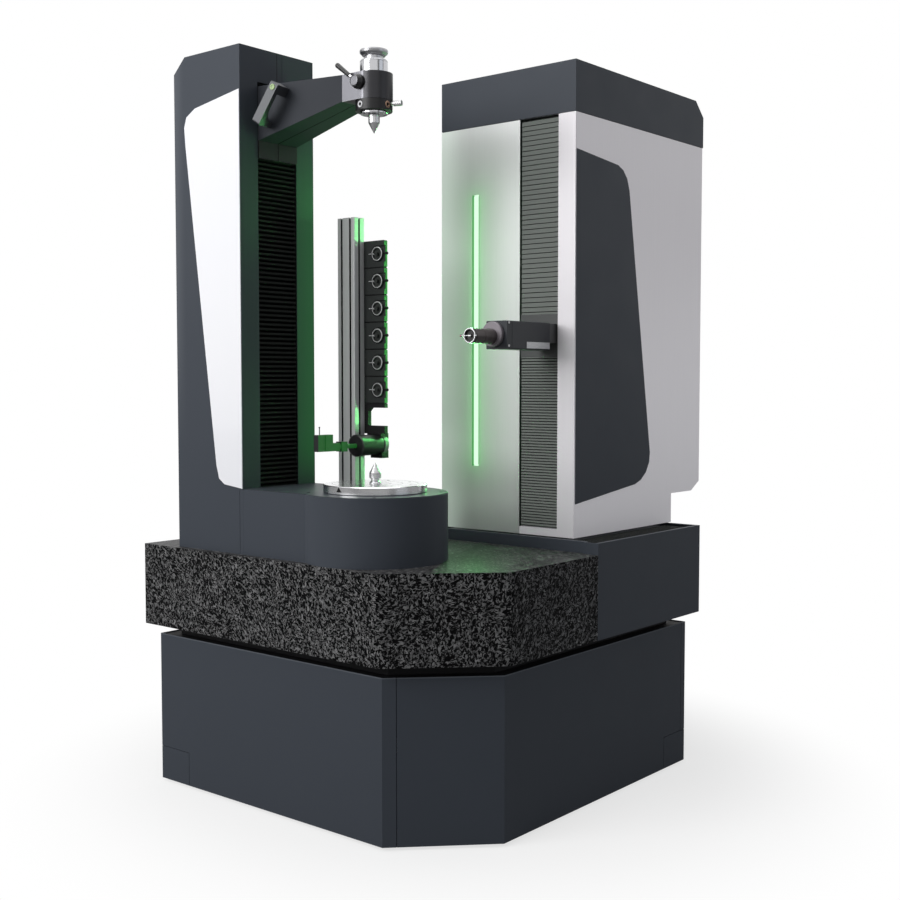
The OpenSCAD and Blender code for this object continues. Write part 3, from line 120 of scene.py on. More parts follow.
# %% [markdown]
# ## Shader sums written as sums
# A finish is a small calculation from the place on the surface to its colour, gloss and
# relief. A wire class lets that read as plain arithmetic: each operator adds the Math node
# that does the work. Any other node comes from one method, which sets the node up first
# and then fills its sockets with numbers or with other wires.

# %% The wire class
class Wire:
    """An output socket in a material; sums on it add Math nodes."""

    def __init__(self, tree, socket=None):
        self.tree = tree
        self.socket = socket

    def node(self, kind, settings=None, sockets=None, output=0):
        made = self.tree.nodes.new(kind)
        for name, value in (settings or {}).items():
            if name == "stops":
                ramp = made.color_ramp
                while len(ramp.elements) < len(value):
                    ramp.elements.new(0.5)
                for element, (at, colour) in zip(ramp.elements, value):
                    element.position = at
                    element.color = (*colour, 1)
            else:
                setattr(made, name, value)
        for key, value in (sockets or {}).items():
            if isinstance(value, Wire):
                self.tree.links.new(value.socket, made.inputs[key])
            else:
                made.inputs[key].default_value = value
        return Wire(self.tree, made.outputs[output] if made.outputs else None)

    def math(self, operation, first, second=0.0):
        return self.node("ShaderNodeMath", {"operation": operation}, {0: first, 1: second})

    def __add__(self, other):
        return self.math("ADD", self, other)

    def __radd__(self, other):
        return self.math("ADD", other, self)

    def __sub__(self, other):
        return self.math("SUBTRACT", self, other)

    def __rsub__(self, other):
        return self.math("SUBTRACT", other, self)

    def __mul__(self, other):
        return self.math("MULTIPLY", self, other)

    def __rmul__(self, other):
        return self.math("MULTIPLY", other, self)

    def __truediv__(self, other):
        return self.math("DIVIDE", self, other)

    def power(self, exponent):
        return self.math("POWER", self, exponent)

    def root(self):
        return self.math("SQRT", self)

    def size(self):
        """How far this is from zero."""
        return self.math("ABSOLUTE", self)

    def remainder(self, pitch):
        return self.math("MODULO", self, pitch)

    def least(self, other):
        return self.math("MINIMUM", self, other)

    def most(self, other):
        return self.math("MAXIMUM", self, other)

    def step(self, low, high):
        """0 below low, 1 above high, smooth in between."""
        return self.node(
            "ShaderNodeMapRange", {"interpolation_type": "SMOOTHSTEP"},
            {"Value": self, "From Min": low, "From Max": high})

    def between(self, low, high, soft):
        return self.step(low - soft, low + soft) * (1 - self.step(high - soft, high + soft))

    def mix(self, first, second):
        """Colour between first and second by this wire."""
        return self.node(
            "ShaderNodeMix", {"data_type": "RGBA"}, {0: self, 6: first, 7: second}, 2)

    def times(self, x, y, z):
        return self.node("ShaderNodeVectorMath", {"operation": "MULTIPLY"},
                         {0: self, 1: (x, y, z)})

    def split(self):
        outs = self.node("ShaderNodeSeparateXYZ", None, {0: self}).socket.node.outputs
        return [Wire(self.tree, outs[i]) for i in range(3)]

    def join(self, x, y, z):
        return self.node("ShaderNodeCombineXYZ", None, {0: x, 1: y, 2: z})

    def noise(self, scale, detail=2.0, roughness=0.5, distortion=0.0, output=0):
        return self.node("ShaderNodeTexNoise", None, {
            "Vector": self, "Scale": scale, "Detail": detail, "Roughness": roughness,
            "Distortion": distortion}, output)

    def cells(self, scale):
        """The random colour of each cell."""
        return self.node("ShaderNodeTexVoronoi", None,
                         {"Vector": self, "Scale": scale, "Randomness": 1.0}, "Color")

    def turned(self, x, y, z):
        return self.node("ShaderNodeMapping", None,
                         {"Vector": self, "Rotation": (x, y, z)})

    def relief(self, distance, strength=1.0):
        """Bump from this height, in metres."""
        return self.node("ShaderNodeBump", None,
                         {"Height": self, "Distance": distance, "Strength": strength})


def reach(first, second):
    """Distance from an axis, from the two offsets across it."""
    return (first * first + second * second).root()


print("wire class ready")

# %% [markdown]
# ## A finish
# Each finish is one Principled shader. What is the same all over goes straight onto its
# sockets, and what varies is fed in as a wire. Most of the small details, such as a seam or
# a bright rim, are laid over a finished coat later on, so a finish can hand back the wire
# that feeds a socket so far, and a mask then chooses between it and something new.

# %% The finish class
BLACK = (0, 0, 0, 1)


class Finish:
    """A material with one Principled shader; what varies is fed in as wires."""

    def __init__(self, name, **constants):
        self.material = bpy.data.materials.new(name)
        self.material.use_nodes = True
        self.tree = self.material.node_tree
        self.shader = self.tree.nodes["Principled BSDF"]
        self.place = Wire(self.tree).node("ShaderNodeTexCoord", output="Object")
        for key, value in constants.items():
            self.feed(key.replace("_", " "), value)

    def feed(self, socket, value):
        target = self.shader.inputs[socket]
        if isinstance(value, Wire):
            self.tree.links.new(value.socket, target)
        else:
            target.default_value = value

    def fed(self, socket):
        """The wire that feeds a socket so far."""
        return Wire(self.tree, self.shader.inputs[socket].links[0].from_socket)

    def lay(self, mask, colour):
        """Lays a second colour over the first where the mask is 1."""
        self.feed("Base Color", mask.mix(self.fed("Base Color"), colour))

    def shade(self, factor):
        """Darkens the colour by a factor that varies over the surface."""
        tone = self.fed("Base Color")
        self.feed("Base Color", tone.node(
            "ShaderNodeVectorMath", {"operation": "SCALE"}, {0: tone, "Scale": factor}))

    def glow(self, mask, colour):
        """Lets the surface shine in a colour where the mask is 1."""
        self.feed("Emission Color", mask.mix(BLACK, colour))
        self.feed("Emission Strength", 1.0)


print("finish class ready")

# %% [markdown]
# ## Colours and dressing
# A colour is read off a screen as three numbers up to 255, while a shader counts in linear
# light, so one small sum turns the first into the second.

# %% Colours
def rgb(red, green, blue):
    """A screen colour, 0 to 255, as the linear colour that a shader takes."""
    def linear(value):
        value = value / 255
        return value / 12.92 if value <= 0.04045 else ((value + 0.055) / 1.055) ** 2.4
    return (linear(red), linear(green), linear(blue), 1)


def scaled(colour, factor):
    return (*[c * factor for c in colour[:3]], 1)


def dress(finish, *names):
    for name in names:
        for slot in nodes[name].material_slots:
            slot.material = finish.material
    print(finish.material.name, "on", len(names), "nodes")


print("mid grey is", round(rgb(128, 128, 128)[0], 3), "in linear light")

# %% [markdown]
# ## Powder coat on the dark sheet metal
# The cabinet, the columns' heads and the table housing are sheet steel in an anthracite powder
# coat. Baked powder flows into a fine orange peel, so the relief is a noise of about a
# millimetre, a few hundredths deep. Broad, weak clouds in colour and gloss keep large panels
# from looking like one flat tone. A thin paler line just under the top of the cabinet's panels
# is a painted highlight, where their folded top edges would catch the light.

# %% Powder coat
ANTHRACITE = rgb(61, 66, 74)
EDGE_HIGHLIGHT_BAND = (0.4768, 0.4797)


def powder_coat(name, colour, roughness, peel=0.00008, clouds=0.07):
    coat = Finish(name, Specular_IOR_Level=0.2)
    tone = 0.5 * coat.place.noise(2.2, 3, 0.6) + 0.5 * coat.place.noise(1400, 1)
    coat.feed("Base Color", tone.mix(scaled(colour, 1 - clouds), scaled(colour, 1 + clouds)))
    coat.feed("Roughness", roughness - 0.06 + 0.12 * coat.place.noise(9, 3))
    coat.feed("Normal", coat.place.noise(620, 2, 0.4).relief(peel, 0.6))
    return coat


anthracite = powder_coat("anthracite_powder_coat", ANTHRACITE, 0.5)
x, y, z = anthracite.place.split()
# Painted highlight: a thin paler line under the folded top edges of the cabinet's panels.
anthracite.lay(z.between(*EDGE_HIGHLIGHT_BAND, 0.0001), rgb(92, 97, 104))
dress(anthracite, "base_front_panel", "base_side_panel", "base_left_panel", "base_rear_panel",
      "corner_access_covers", "rear_cover", "table_housing", "column_cap", "side_inset_panel")
dress(powder_coat("lid_powder_coat", rgb(55, 60, 66), 0.42), "housing_top_plate")
dress(powder_coat("black_powder_coat", rgb(26, 26, 28), 0.55), "shadow_skirt")

# %% [markdown]
# ## The tailstock's arm
# The arm wears two half covers that meet under it in a dark joint. The joint runs slantwise
# from the table's axis at the head to the middle of the column, so its mask is the distance
# from that slanted line.

# %% Arm covers
ARM_ENDS = (0.100, -0.188)
arm_coat = powder_coat("arm_powder_coat", rgb(54, 57, 63), 0.5)
arm_coat.feed("Specular IOR Level", 0.1)
x, y, z = arm_coat.place.split()
slant = (TAIL_MID - TABLE.y) / (ARM_ENDS[0] - ARM_ENDS[1])
aside = y - (TABLE.y + slant * (ARM_ENDS[0] - x))
arm_coat.lay(1 - aside.size().step(0.0014, 0.0018), rgb(5, 5, 6))
dress(arm_coat, "arm_cover_front", "arm_cover_rear")

# %% [markdown]
# ## The tailstock's column
# The column's inner face looks at the light strip and takes on a green cast towards its near
# edge, which is painted in as a very weak glow. The far edge on the left is paler, in a band
# about five centimetres wide that fades in between one metre and one and a half metres up, and
# a joint line runs up the middle over the slot.

# %% Tailstock column
column_coat = powder_coat("anthracite_beside_the_light", ANTHRACITE, 0.5)
tail_low, tail_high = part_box("tail_column_cover")
x, y, z = column_coat.place.split()
inner_face = x.step(tail_high.x - 0.0012, tail_high.x - 0.0006)
# Painted light: the strip's green cast on the inner face, as a very weak glow.
column_coat.glow(inner_face * (0.13 + 0.87 * y.step(-0.62, -0.42)) * z.step(0.9, 1.1)
                 * (1 - z.step(1.75, 2.15)), (0.004, 0.068, 0.009, 1))
column_coat.lay((1 - x.step(tail_low.x, tail_low.x + 0.05)) * z.step(1.0, 1.5),
                rgb(80, 84, 91))
JOINT_HALF, JOINT_SOFT = 0.0013, 0.0003
tail_joint = (TAIL_MID - JOINT_HALF, TAIL_MID + JOINT_HALF, JOINT_SOFT)
column_coat.lay(y.between(*tail_joint) * inner_face * z.step(2.10, 2.11), rgb(7, 8, 9))
dress(column_coat, "tail_column_cover")

# %% [markdown]
# ## Holder plates of the stylus rack
# Six plates hang one above the other at an even pitch, so one sum with a remainder finds
# the height over the nearest cradle and serves them all. The dark seams lie half a pitch
# away from the cradles, and the side that looks at the light strip gets a weak green glow.

# %% Rack holders
RACK_LOW, RACK_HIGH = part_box("stylus_holders")


def from_cradle(z):
    """Height over the middle of the nearest cradle."""
    return (z - CRADLE.z + CRADLE_PITCH / 2).remainder(CRADLE_PITCH) - CRADLE_PITCH / 2


holder_coat = powder_coat("holder_powder_coat", rgb(43, 46, 45), 0.48)
x, y, z = holder_coat.place.split()
holder_coat.glow(x.step(RACK_HIGH.x - 0.0012, RACK_HIGH.x - 0.0004), (0.008, 0.15, 0.014, 1))
holder_coat.lay(from_cradle(z).size().step(0.0398, 0.0404), rgb(6, 6, 6))
dress(holder_coat, "stylus_holders")
bracket_coat = powder_coat("bracket_powder_coat", rgb(19, 19, 20), 0.55)
dress(bracket_coat, "rack_bracket")

# %% [markdown]
# ## Silver lacquer on the measuring column
# The column's panels are in a satin silver: aluminium flakes in clear lacquer over the
# sheet. A part metallic shader gives the wide soft sheen of flakes, with a fine upright
# grain.

# %% Silver lacquer
def silver_lacquer(name, colour):
    lacquer = Finish(name, Metallic=0.32, Specular_IOR_Level=0.3)
    grain = lacquer.place.times(1, 1, 0.012).noise(420, 3, 0.6)
    flake = lacquer.place.noise(3000, 0)
    cloud = lacquer.place.noise(1.6, 2)
    tone = 0.45 * grain + 0.35 * flake + 0.2 * cloud
    lacquer.feed("Base Color", tone.mix(scaled(colour, 0.92), scaled(colour, 1.08)))
    lacquer.feed("Roughness", 0.3 + 0.14 * grain)
    lacquer.feed("Normal", grain.relief(0.00002, 0.5))
    return lacquer


print("lacquer ready")

# %% [markdown]
# ## The panel with the light strip
# The green strip's light on the panel around it is painted in: a weak glow that falls off with
# the distance from the strip, and a wider, weaker green painted into the lacquer's colour. The
# panel is painted darker towards its foot as shade, and a pale glow paints light onto its left
# edge.

# %% Front panel of the column
lit = silver_lacquer("silver_lacquer_lit", rgb(214, 213, 215))
x, y, z = lit.place.split()
# Painted shade: the panel grows darker towards its foot.
lit.shade(1 - 0.26 * (1 - z.step(0.93, 1.10)))
beyond = (LENS_Z[0] + 0.02 - z).most(z - (LENS_Z[1] - 0.02)).most(0)
far = reach(x - LENS_X, beyond)
# Painted light: the strip's green, wider and weaker, painted into the lacquer's colour.
painted_strip_green = (1 + far * 9).power(-2).mix((1, 1, 1, 1), (0.68, 1.0, 0.7, 1))
lit.feed("Base Color", painted_strip_green.node(
    "ShaderNodeMix", {"data_type": "RGBA", "blend_type": "MULTIPLY"},
    {0: 1.0, 6: lit.fed("Base Color"), 7: painted_strip_green}, 2))
# Painted light: a pale glow on the left edge, and the strip's green glow near the lens.
painted_left_light = (1 - x.step(-0.04, 0.13)).mix(BLACK, (0.58, 0.70, 0.60, 1))
lit.feed("Emission Color", (1 + far * 26).power(-2).mix(painted_left_light, (0.06, 0.62, 0.08, 1)))
lit.feed("Emission Strength", 0.5)
dress(lit, "column_front_panel")

# %% [markdown]
# ## The column's side and rear panels
# A weak glow near their foot paints in the light that comes back from the granite, and their
# folded front edge is painted darker as shade. The rear one is fixed by flush countersunk
# screws, eight to a side. They stand out by nothing, so they are drawn by the finish: a
# remainder gives their pitch, and the distance from the nearest one draws the head, and the
# darker socket in it as painted shade.

# %% Side and rear panels of the column
SCREW_LEFT, SCREW_RIGHT = 0.022, 0.487
SCREW_LOW, SCREW_HIGH, SCREW_PITCH = 1.06, 2.09, 0.14
silver = silver_lacquer("silver_lacquer", rgb(230, 227, 231))
x, y, z = silver.place.split()
# Painted light: a weak glow near the foot for the light that comes back from the granite.
silver.glow(1 - z.step(0.95, 1.9), (0.12, 0.12, 0.125, 1))
along = (z - 1.05).remainder(SCREW_PITCH) - SCREW_PITCH / 2
spot = reach((x - SCREW_LEFT).size().least((x - SCREW_RIGHT).size()), along)
on_rear = y.step(0.7558, 0.7563) * z.between(SCREW_LOW, SCREW_HIGH, 0.001)
screw = on_rear * (1 - spot.step(0.0058, 0.0062))
# Painted shade in the screws' sockets.
socket = on_rear * (1 - spot.step(0.0026, 0.0029))
# Painted shade on the folded front edge.
front_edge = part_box("column_side_panel")[0].y
shaded_front_edge = 1 - y.step(front_edge + 0.0006, front_edge + 0.0012)
silver.shade((1 - 0.26 * shaded_front_edge) * (1 - 0.35 * screw - 0.55 * socket))
silver.feed("Metallic", 0.32 + 0.6 * screw)
dress(silver, "column_side_panel", "column_rear_panel", "controller_unit")

# %% [markdown]
# ## White gloss panel
# The tailstock's front carries one white panel in a wet gloss lacquer. A coat layer over a
# smooth base gives the mirror-like edge, and a very shallow long wave keeps the reflection
# from being too perfect.

# %% White gloss
white = Finish("white_gloss_lacquer", Roughness=0.22, Coat_Weight=0.6, Coat_Roughness=0.04)
white.feed("Base Color", white.place.noise(1.4, 2).mix(rgb(243, 244, 250), rgb(252, 252, 255)))
white.feed("Normal", white.place.noise(14, 1).relief(0.0002, 0.25))
dress(white, "tail_side_panel")

# %% [markdown]
# ## Black granite
# The bed is a lapped slab of dark gabbro, which the trade calls black granite. Its crystals
# are grey needles that lie nearly parallel within each patch and turn from patch to patch.
# Three stretched noises give three needle directions, and the random colour of large cells
# chooses between them. The polished stone is smooth, so there is almost no relief.

# %% Granite
granite = Finish("black_granite", Specular_IOR_Level=0.03)
bent = granite.place.node("ShaderNodeVectorMath", {"operation": "MULTIPLY_ADD"}, {
    0: granite.place.noise(60, output="Color"), 1: (0.006, 0.006, 0.006), 2: granite.place})
needles = [bent.turned(*turn).times(1, 1, 0.4).noise(165, 2, 0.6, 0.9)
           for turn in ((0.5, 0.4, 0.2), (1.45, -0.5, 1.1), (-0.7, 1.1, 2.0))]
patch = bent.cells(22).split()
pick_first = patch[0].step(0.42, 0.5)
pick_second = patch[1].step(0.46, 0.54)
needle = pick_first * needles[0] + (1 - pick_first) * (
    pick_second * needles[1] + (1 - pick_second) * needles[2])
crystal = needle.step(0.5, 0.56)
glint = bent.cells(120).split()[2].power(2)
level = crystal * (0.45 + 0.55 * glint) * (0.6 + 0.8 * granite.place.noise(45, 2))
granite.feed("Base Color", level.mix(rgb(11, 11, 12), rgb(132, 132, 133)))
granite.feed("Roughness", 0.32 + 0.14 * crystal)
granite.feed("Normal", crystal.relief(0.00003, 0.3))
dress(granite, "granite_bed")

# %% [markdown]
# ## Turned and ground steel
# The face plate, the centres and the spindle are turned and then ground. Each leaves fine
# rings about its own axis, so the pattern is a noise of the radius and of the height along
# that axis, and it shows in the gloss more than in the colour.

# %% Turned steel
def turned_steel(name, centre, axis, colour, roughness, ring=1500.0, depth=0.000015):
    steel = Finish(name, Metallic=1.0)
    along = "xyz".index(axis)
    parts = steel.place.split()
    radius = reach(*[parts[i] - centre[i] for i in range(3) if i != along])
    rings = radius.join(radius, parts[along], 0.0).noise(ring, 3, 0.65)
    cloud = steel.place.noise(20, 2)
    steel.feed("Base Color", rings.mix(scaled(colour, 0.82), scaled(colour, 1.1)))
    steel.feed("Roughness", roughness - 0.07 + 0.16 * rings + 0.06 * cloud)
    steel.feed("Normal", rings.relief(depth, 0.5))
    return steel


centres = turned_steel("ground_centres", TABLE, "z", rgb(196, 196, 198), 0.24)
dress(centres, "table_spindle", "lower_centre", "live_centre", "table_bearing")

# %% [markdown]
# ## The face plate's mark
# A black triangle is let into the front of the plate's rim and shows its zero position. The
# mask compares how far a point lies aside with the triangle's half width at that height.

# %% Face plate
MARK_FOOT, MARK_TALL, MARK_HALF = 0.973, 0.015, 0.0105
plate = turned_steel("ground_face_plate", TABLE, "z", rgb(240, 240, 242), 0.14)
x, y, z = plate.place.split()
inside = MARK_HALF * (1 - (z - MARK_FOOT) / MARK_TALL) - (x - TABLE.x).size()
mark = (inside.step(-0.0002, 0.0002) * z.between(MARK_FOOT, MARK_FOOT + MARK_TALL, 0.0002)
        * (1 - y.step(TABLE.y - 0.14, TABLE.y - 0.138)))
plate.lay(mark, rgb(12, 12, 13))
plate.feed("Metallic", 1 - mark)
dress(plate, "face_plate")

# %% [markdown]
# ## Guide rails
# Rails are ground lengthwise, so their grain is a noise that is stretched along the rail.

# %% Rails
rail = Finish("ground_rails", Metallic=1.0)
rail_grain = rail.place.times(0.05, 1, 0.05).noise(900, 3)
rail.feed("Base Color", rail_grain.mix(rgb(150, 150, 153), rgb(196, 196, 198)))
rail.feed("Roughness", 0.2 + 0.18 * rail_grain)
dress(rail, "x_guideways", "y_guide_rails", "z_guideways", "tail_guide_rails")

# %% [markdown]
# ## Chrome quill
# The quill and its sleeve are hard chromed and polished. The reflections do the work here,
# so the finish is only a bright metal with a low roughness and faint turning rings. The cap
# above the sleeve is a little duller, because hands turn it.

# %% Chrome
chrome = turned_steel("hard_chrome", TABLE, "z", rgb(200, 200, 203), 0.12, 900.0, 0.000006)
cap = chrome.place.split()[2].step(2.186, 2.190)
chrome.lay(cap, rgb(176, 176, 179))
chrome.feed("Roughness", chrome.fed("Roughness") + 0.14 * cap)
dress(chrome, "quill_sleeve", "quill")

# %% [markdown]
# ## Black anodised parts
# The head, the clamp ring, the probe and its arm are machined aluminium, bead blasted and
# anodised black. The blasting leaves a fine grain, and the dye leaves a soft dark sheen.
# The carriage shows the joint line of the column, and the head's flat front is machined
# bright after the dyeing.

# %% Black anodised
def anodised(name, colour, roughness):
    skin = Finish(name, Metallic=0.25)
    blast = skin.place.noise(2400, 2, 0.7)
    cloud = skin.place.noise(16, 2)
    skin.feed("Base Color", (0.6 * blast + 0.4 * cloud).mix(
        scaled(colour, 0.85), scaled(colour, 1.2)))
    skin.feed("Roughness", roughness - 0.05 + 0.12 * blast)
    skin.feed("Normal", blast.relief(0.00002, 0.5))
    return skin


carriage = anodised("black_anodised", rgb(34, 34, 36), 0.4)
carriage.lay(carriage.place.split()[1].between(*tail_joint), rgb(6, 6, 6))
dress(carriage, "tail_carriage")
dress(anodised("grey_anodised", rgb(66, 68, 72), 0.42), "grab_handle")
dress(anodised("slide_anodised", rgb(62, 64, 64), 0.45), "z_carriage")
head = anodised("head_anodised", rgb(52, 52, 55), 0.34)
flat_front = 1 - head.place.split()[1].step(LEVER.y + 0.0002, LEVER.y + 0.0010)
head.lay(flat_front, rgb(118, 118, 123))
head.feed("Metallic", 0.6 + 0.25 * flat_front)
dress(head, "tail_head")

# %% [markdown]
# ## Clamp ring and lever
# The ring's set screws stand out beyond its barrel, so the distance from the axis finds
# them and turns them to bright steel. On the lever the same distance, from its own hub,
# finds the bright stud between the hub and the grip, and the face of the hub.

# %% Clamp ring and lever
ring = anodised("ring_anodised", rgb(17, 17, 19), 0.42)
x, y, z = ring.place.split()
set_screws = reach(x - TABLE.x, y - TABLE.y).step(0.0536, 0.0539)
ring.lay(set_screws, rgb(206, 206, 208))
ring.feed("Metallic", 0.25 + 0.7 * set_screws)
dress(ring, "clamp_ring")
lever = anodised("lever_plastic", rgb(20, 20, 21), 0.36)
x, y, z = lever.place.split()
from_hub = reach(x - LEVER.x, z - LEVER.z)
stud = from_hub.between(0.0213, 0.0319, 0.0001)
hub_face = (1 - y.step(LEVER.y - 0.0216, LEVER.y - 0.0212)) * (
    1 - from_hub.step(0.0142, 0.0146))
lever.lay(stud, rgb(214, 214, 216))
lever.lay(hub_face, rgb(112, 112, 116))
lever.feed("Metallic", 0.15 + 0.8 * stud.most(hub_face))
dress(lever, "clamp_lever")

# %% [markdown]
# ## The parked probe
# A second probe is parked under the rack, on a bright plate. The sides of its tool and rod
# that look at the light strip get the same weak green glow as the holders above it.

# %% Parked probe
BARREL_X = -0.023
parked_alloy = anodised("parked_probe_anodised", rgb(31, 31, 33), 0.29)
x, y, z = parked_alloy.place.split()
parking_plate = y.step(-0.3245, -0.3243)
parked_alloy.lay(parking_plate, rgb(118, 118, 120))
parked_alloy.feed("Metallic", 0.25 + 0.1 * parking_plate)
rod = y.between(-0.4730, -0.4234, 0.0002) * x.step(BARREL_X - 0.001, BARREL_X + 0.004)
tool = (1 - y.step(-0.4734, -0.4730)) * x.step(BARREL_X + 0.0088, BARREL_X + 0.0094)
parked_alloy.glow(rod.most(tool), (0.006, 0.08, 0.010, 1))
dress(parked_alloy, "parked_probe")

# %% [markdown]
# ## Probe and probe arm
# The arm's side carries a thin bare plate of brushed sheet. The black skin covers the whole
# arm, and a mask by place turns it into bright sheet on the plate. The probe's barrel is
# turned, and its flange is left lighter than the rest.

# %% Probe arm
ARM_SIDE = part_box("probe_arm")[1].x
PROBE_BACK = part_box("probe_body")[1].y
arm = anodised("probe_arm_anodised", rgb(30, 34, 40), 0.42)
on_plate = arm.place.split()[0].step(ARM_SIDE - 0.0008, ARM_SIDE - 0.0004)
stripe = arm.place.times(0.06, 0.06, 1).noise(700, 2)
arm.lay(on_plate, stripe.mix(rgb(150, 151, 154), rgb(205, 206, 208)))
arm.feed("Metallic", 0.25 + 0.7 * on_plate)
dress(arm, "probe_arm")
probe = turned_steel("probe_anodised", PROBE, "y", rgb(74, 68, 68), 0.36, 1100.0)
flange = probe.place.split()[1].step(PROBE_BACK - 0.083, PROBE_BACK - 0.0825)
probe.lay(flange, rgb(128, 122, 128))
probe.feed("Metallic", 0.35)
dress(probe, "probe_body")

# %% [markdown]
# ## Stylus module
# The module is a steel disc with a bright rim and a dark face. A thin shaft carries a
# ruby ball. The masks are distances from the module's axis and from the ball's centre.

# %% Stylus module
module = turned_steel("stylus_module", PROBE, "y", rgb(225, 225, 227), 0.22, 1300.0)
x, y, z = module.place.split()
rim = reach(x - PROBE.x, z - PROBE.z).between(0.0188, 0.0216, 0.0002)
shaft = (1 - (z - PROBE.z).size().step(0.0016, 0.0019)) * (
    1 - y.step(STYLUS_LOW.y + 0.006, STYLUS_LOW.y + 0.007))
dark_face = (1 - rim) * (1 - shaft)
ruby = 1 - reach(x - BALL.x, z - BALL.z).step(0.0028, 0.0032)
module.lay(dark_face, rgb(38, 36, 37))
module.lay(ruby, rgb(150, 20, 34))
module.feed("Metallic", (1 - 0.8 * dark_face) * (1 - ruby))
dress(module, "stylus_module")

# %% [markdown]
# ## Parked modules
# Six more modules lie in the rack's cradles. They share the sum of the holder plates: the
# height over the nearest cradle takes the place of the height in every mask.

# %% Parked modules
parked = Finish("parked_modules", Specular_IOR_Level=0.2)
x, y, z = parked.place.split()
rise = from_cradle(z)
rim = reach(x - CRADLE.x, rise).between(0.0186, 0.0216, 0.0002)
pin = (1 - rise.size().step(0.0022, 0.0026)) * (
    1 - x.step(CRADLE.x - 0.009, CRADLE.x - 0.008))
bright_part = rim.most(pin)
knob = x.step(CRADLE.x + 0.0225, CRADLE.x + 0.0235)
tone = parked.place.noise(900, 2)
dark_part = knob.mix(tone.mix(rgb(44, 47, 45), rgb(62, 65, 63)), rgb(6, 8, 6))
bright_tone = tone.mix(rgb(196, 198, 198), rgb(240, 241, 241))
parked.feed("Base Color", bright_part.mix(dark_part, bright_tone))
parked.feed("Metallic", 0.8 * bright_part)
parked.feed("Roughness", 0.26 + 0.15 * tone + 0.4 * knob)
dress(parked, "parked_styli")

# %% [markdown]
# ## Rack post
# The stylus rack hangs on an extruded aluminium post. Drawing through the die leaves long fine
# lines, so the noise is stretched along the post. Whatever lies deeper than the outer skin,
# below the sawn top, is the inside of a slot, and it is painted dark as shade.

# %% Rack post
SKIN, SKIN_SOFT = 0.0018, 0.0006
post = Finish("drawn_aluminium", Metallic=0.25)
drawn = post.place.times(1, 1, 0.004).noise(1500, 3, 0.6)
post_low, post_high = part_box("rack_post")
x, y, z = post.place.split()
# Painted shade inside the slots, below the sawn top.
deep = (x.between(post_low.x + SKIN, post_high.x - SKIN, SKIN_SOFT)
        * y.between(post_low.y + SKIN, post_high.y - SKIN, SKIN_SOFT)
        * (1 - z.step(post_high.z - 0.004, post_high.z - 0.003)))
post.feed("Base Color", deep.mix(drawn.mix(rgb(186, 186, 187), rgb(220, 221, 222)),
                                 rgb(10, 10, 10)))
post.feed("Roughness", 0.36 + 0.16 * drawn)
post.feed("Normal", drawn.relief(0.00002, 0.4))
dress(post, "rack_post", "tail_lift_cylinder")

# %% [markdown]
# ## Castings, frame and rubber
# Castings and the welded frame are painted grey, with the coarser skin of sand and weld.
# The isolators under the granite are matt black rubber.

# %% Castings and rubber
casting = powder_coat("painted_casting", rgb(120, 122, 125), 0.6, 0.0005, 0.12)
dress(casting, "tail_column_casting", "x_saddle", "column_casting")
frame_paint = powder_coat("frame_paint", rgb(60, 62, 66), 0.6, 0.0002, 0.12)
dress(frame_paint, "base_frame", "levelling_feet", "rack_foot")
rubber = Finish("isolator_rubber", Roughness=0.78)
rubber_tone = rubber.place.noise(300, 4)
rubber.feed("Base Color", rubber_tone.mix(rgb(20, 20, 20), rgb(38, 38, 38)))
rubber.feed("Normal", rubber_tone.relief(0.0003, 0.5))
dress(rubber, "isolators")

# %% [markdown]
# ## Light strip
# A frosted lens over green diodes runs up the column. Only the lens shines: a mask by depth
# keeps the carrier behind the panel dark, and its edges are a deeper green than its core.

# %% Light strip
strip = Finish("light_strip_lens", Roughness=0.35)
x, y, z = strip.place.split()
lens = 1 - y.step(-0.0285, -0.028)
diodes = 0.94 + 0.06 * strip.place.times(0, 0, 1).noise(110, 1)
core = x.between(LENS_X - 0.0100, LENS_X + 0.0085, 0.0012)
strip.feed("Base Color", lens.mix(rgb(40, 44, 40), rgb(60, 110, 66)))
strip.glow(lens * diodes, core.mix((0.05, 0.3, 0.07, 1), (0.76, 1.0, 0.79, 1)))
dress(strip, "light_strip")

# %% [markdown]
# ## From a mesh to a piece
# Every piece that this lesson adds is built in a bmesh. One helper turns it into an object, and
# a second one makes it a piece of the part: when a body is given, it rides on that body, so it
# moves with the joints.

# %% Pieces
def to_object(name, mesh, material):
    data = bpy.data.meshes.new(name)
    mesh.to_mesh(data)
    mesh.free()
    data.materials.append(material)
    made = bpy.data.objects.new(name, data)
    bpy.context.scene.collection.objects.link(made)
    print(name, len(data.polygons), "faces")
    return made


def add_piece(name, mesh, finish, body=None):
    bmesh.ops.recalc_face_normals(mesh, faces=mesh.faces)
    piece = to_object(name, mesh, finish.material)
    if body:
        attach(piece, body)
    return piece


print("piece helpers ready")

# %% [markdown]
# ## Pleated way covers
# The slots behind the arm and the probe are closed by pleated covers: coated cloth, folded over
# thin stiffeners, that opens and closes as the slide travels. Each is one closed sheet, built
# from the outline of its folds. An attribute on the mesh says how near a point is to the crest
# of its fold, and the finish uses it for painted light: the crests are painted paler as a
# highlight and the valleys darker as shade. The cloth crosses a joint, but each cover here is
# built at rest and follows no slide.

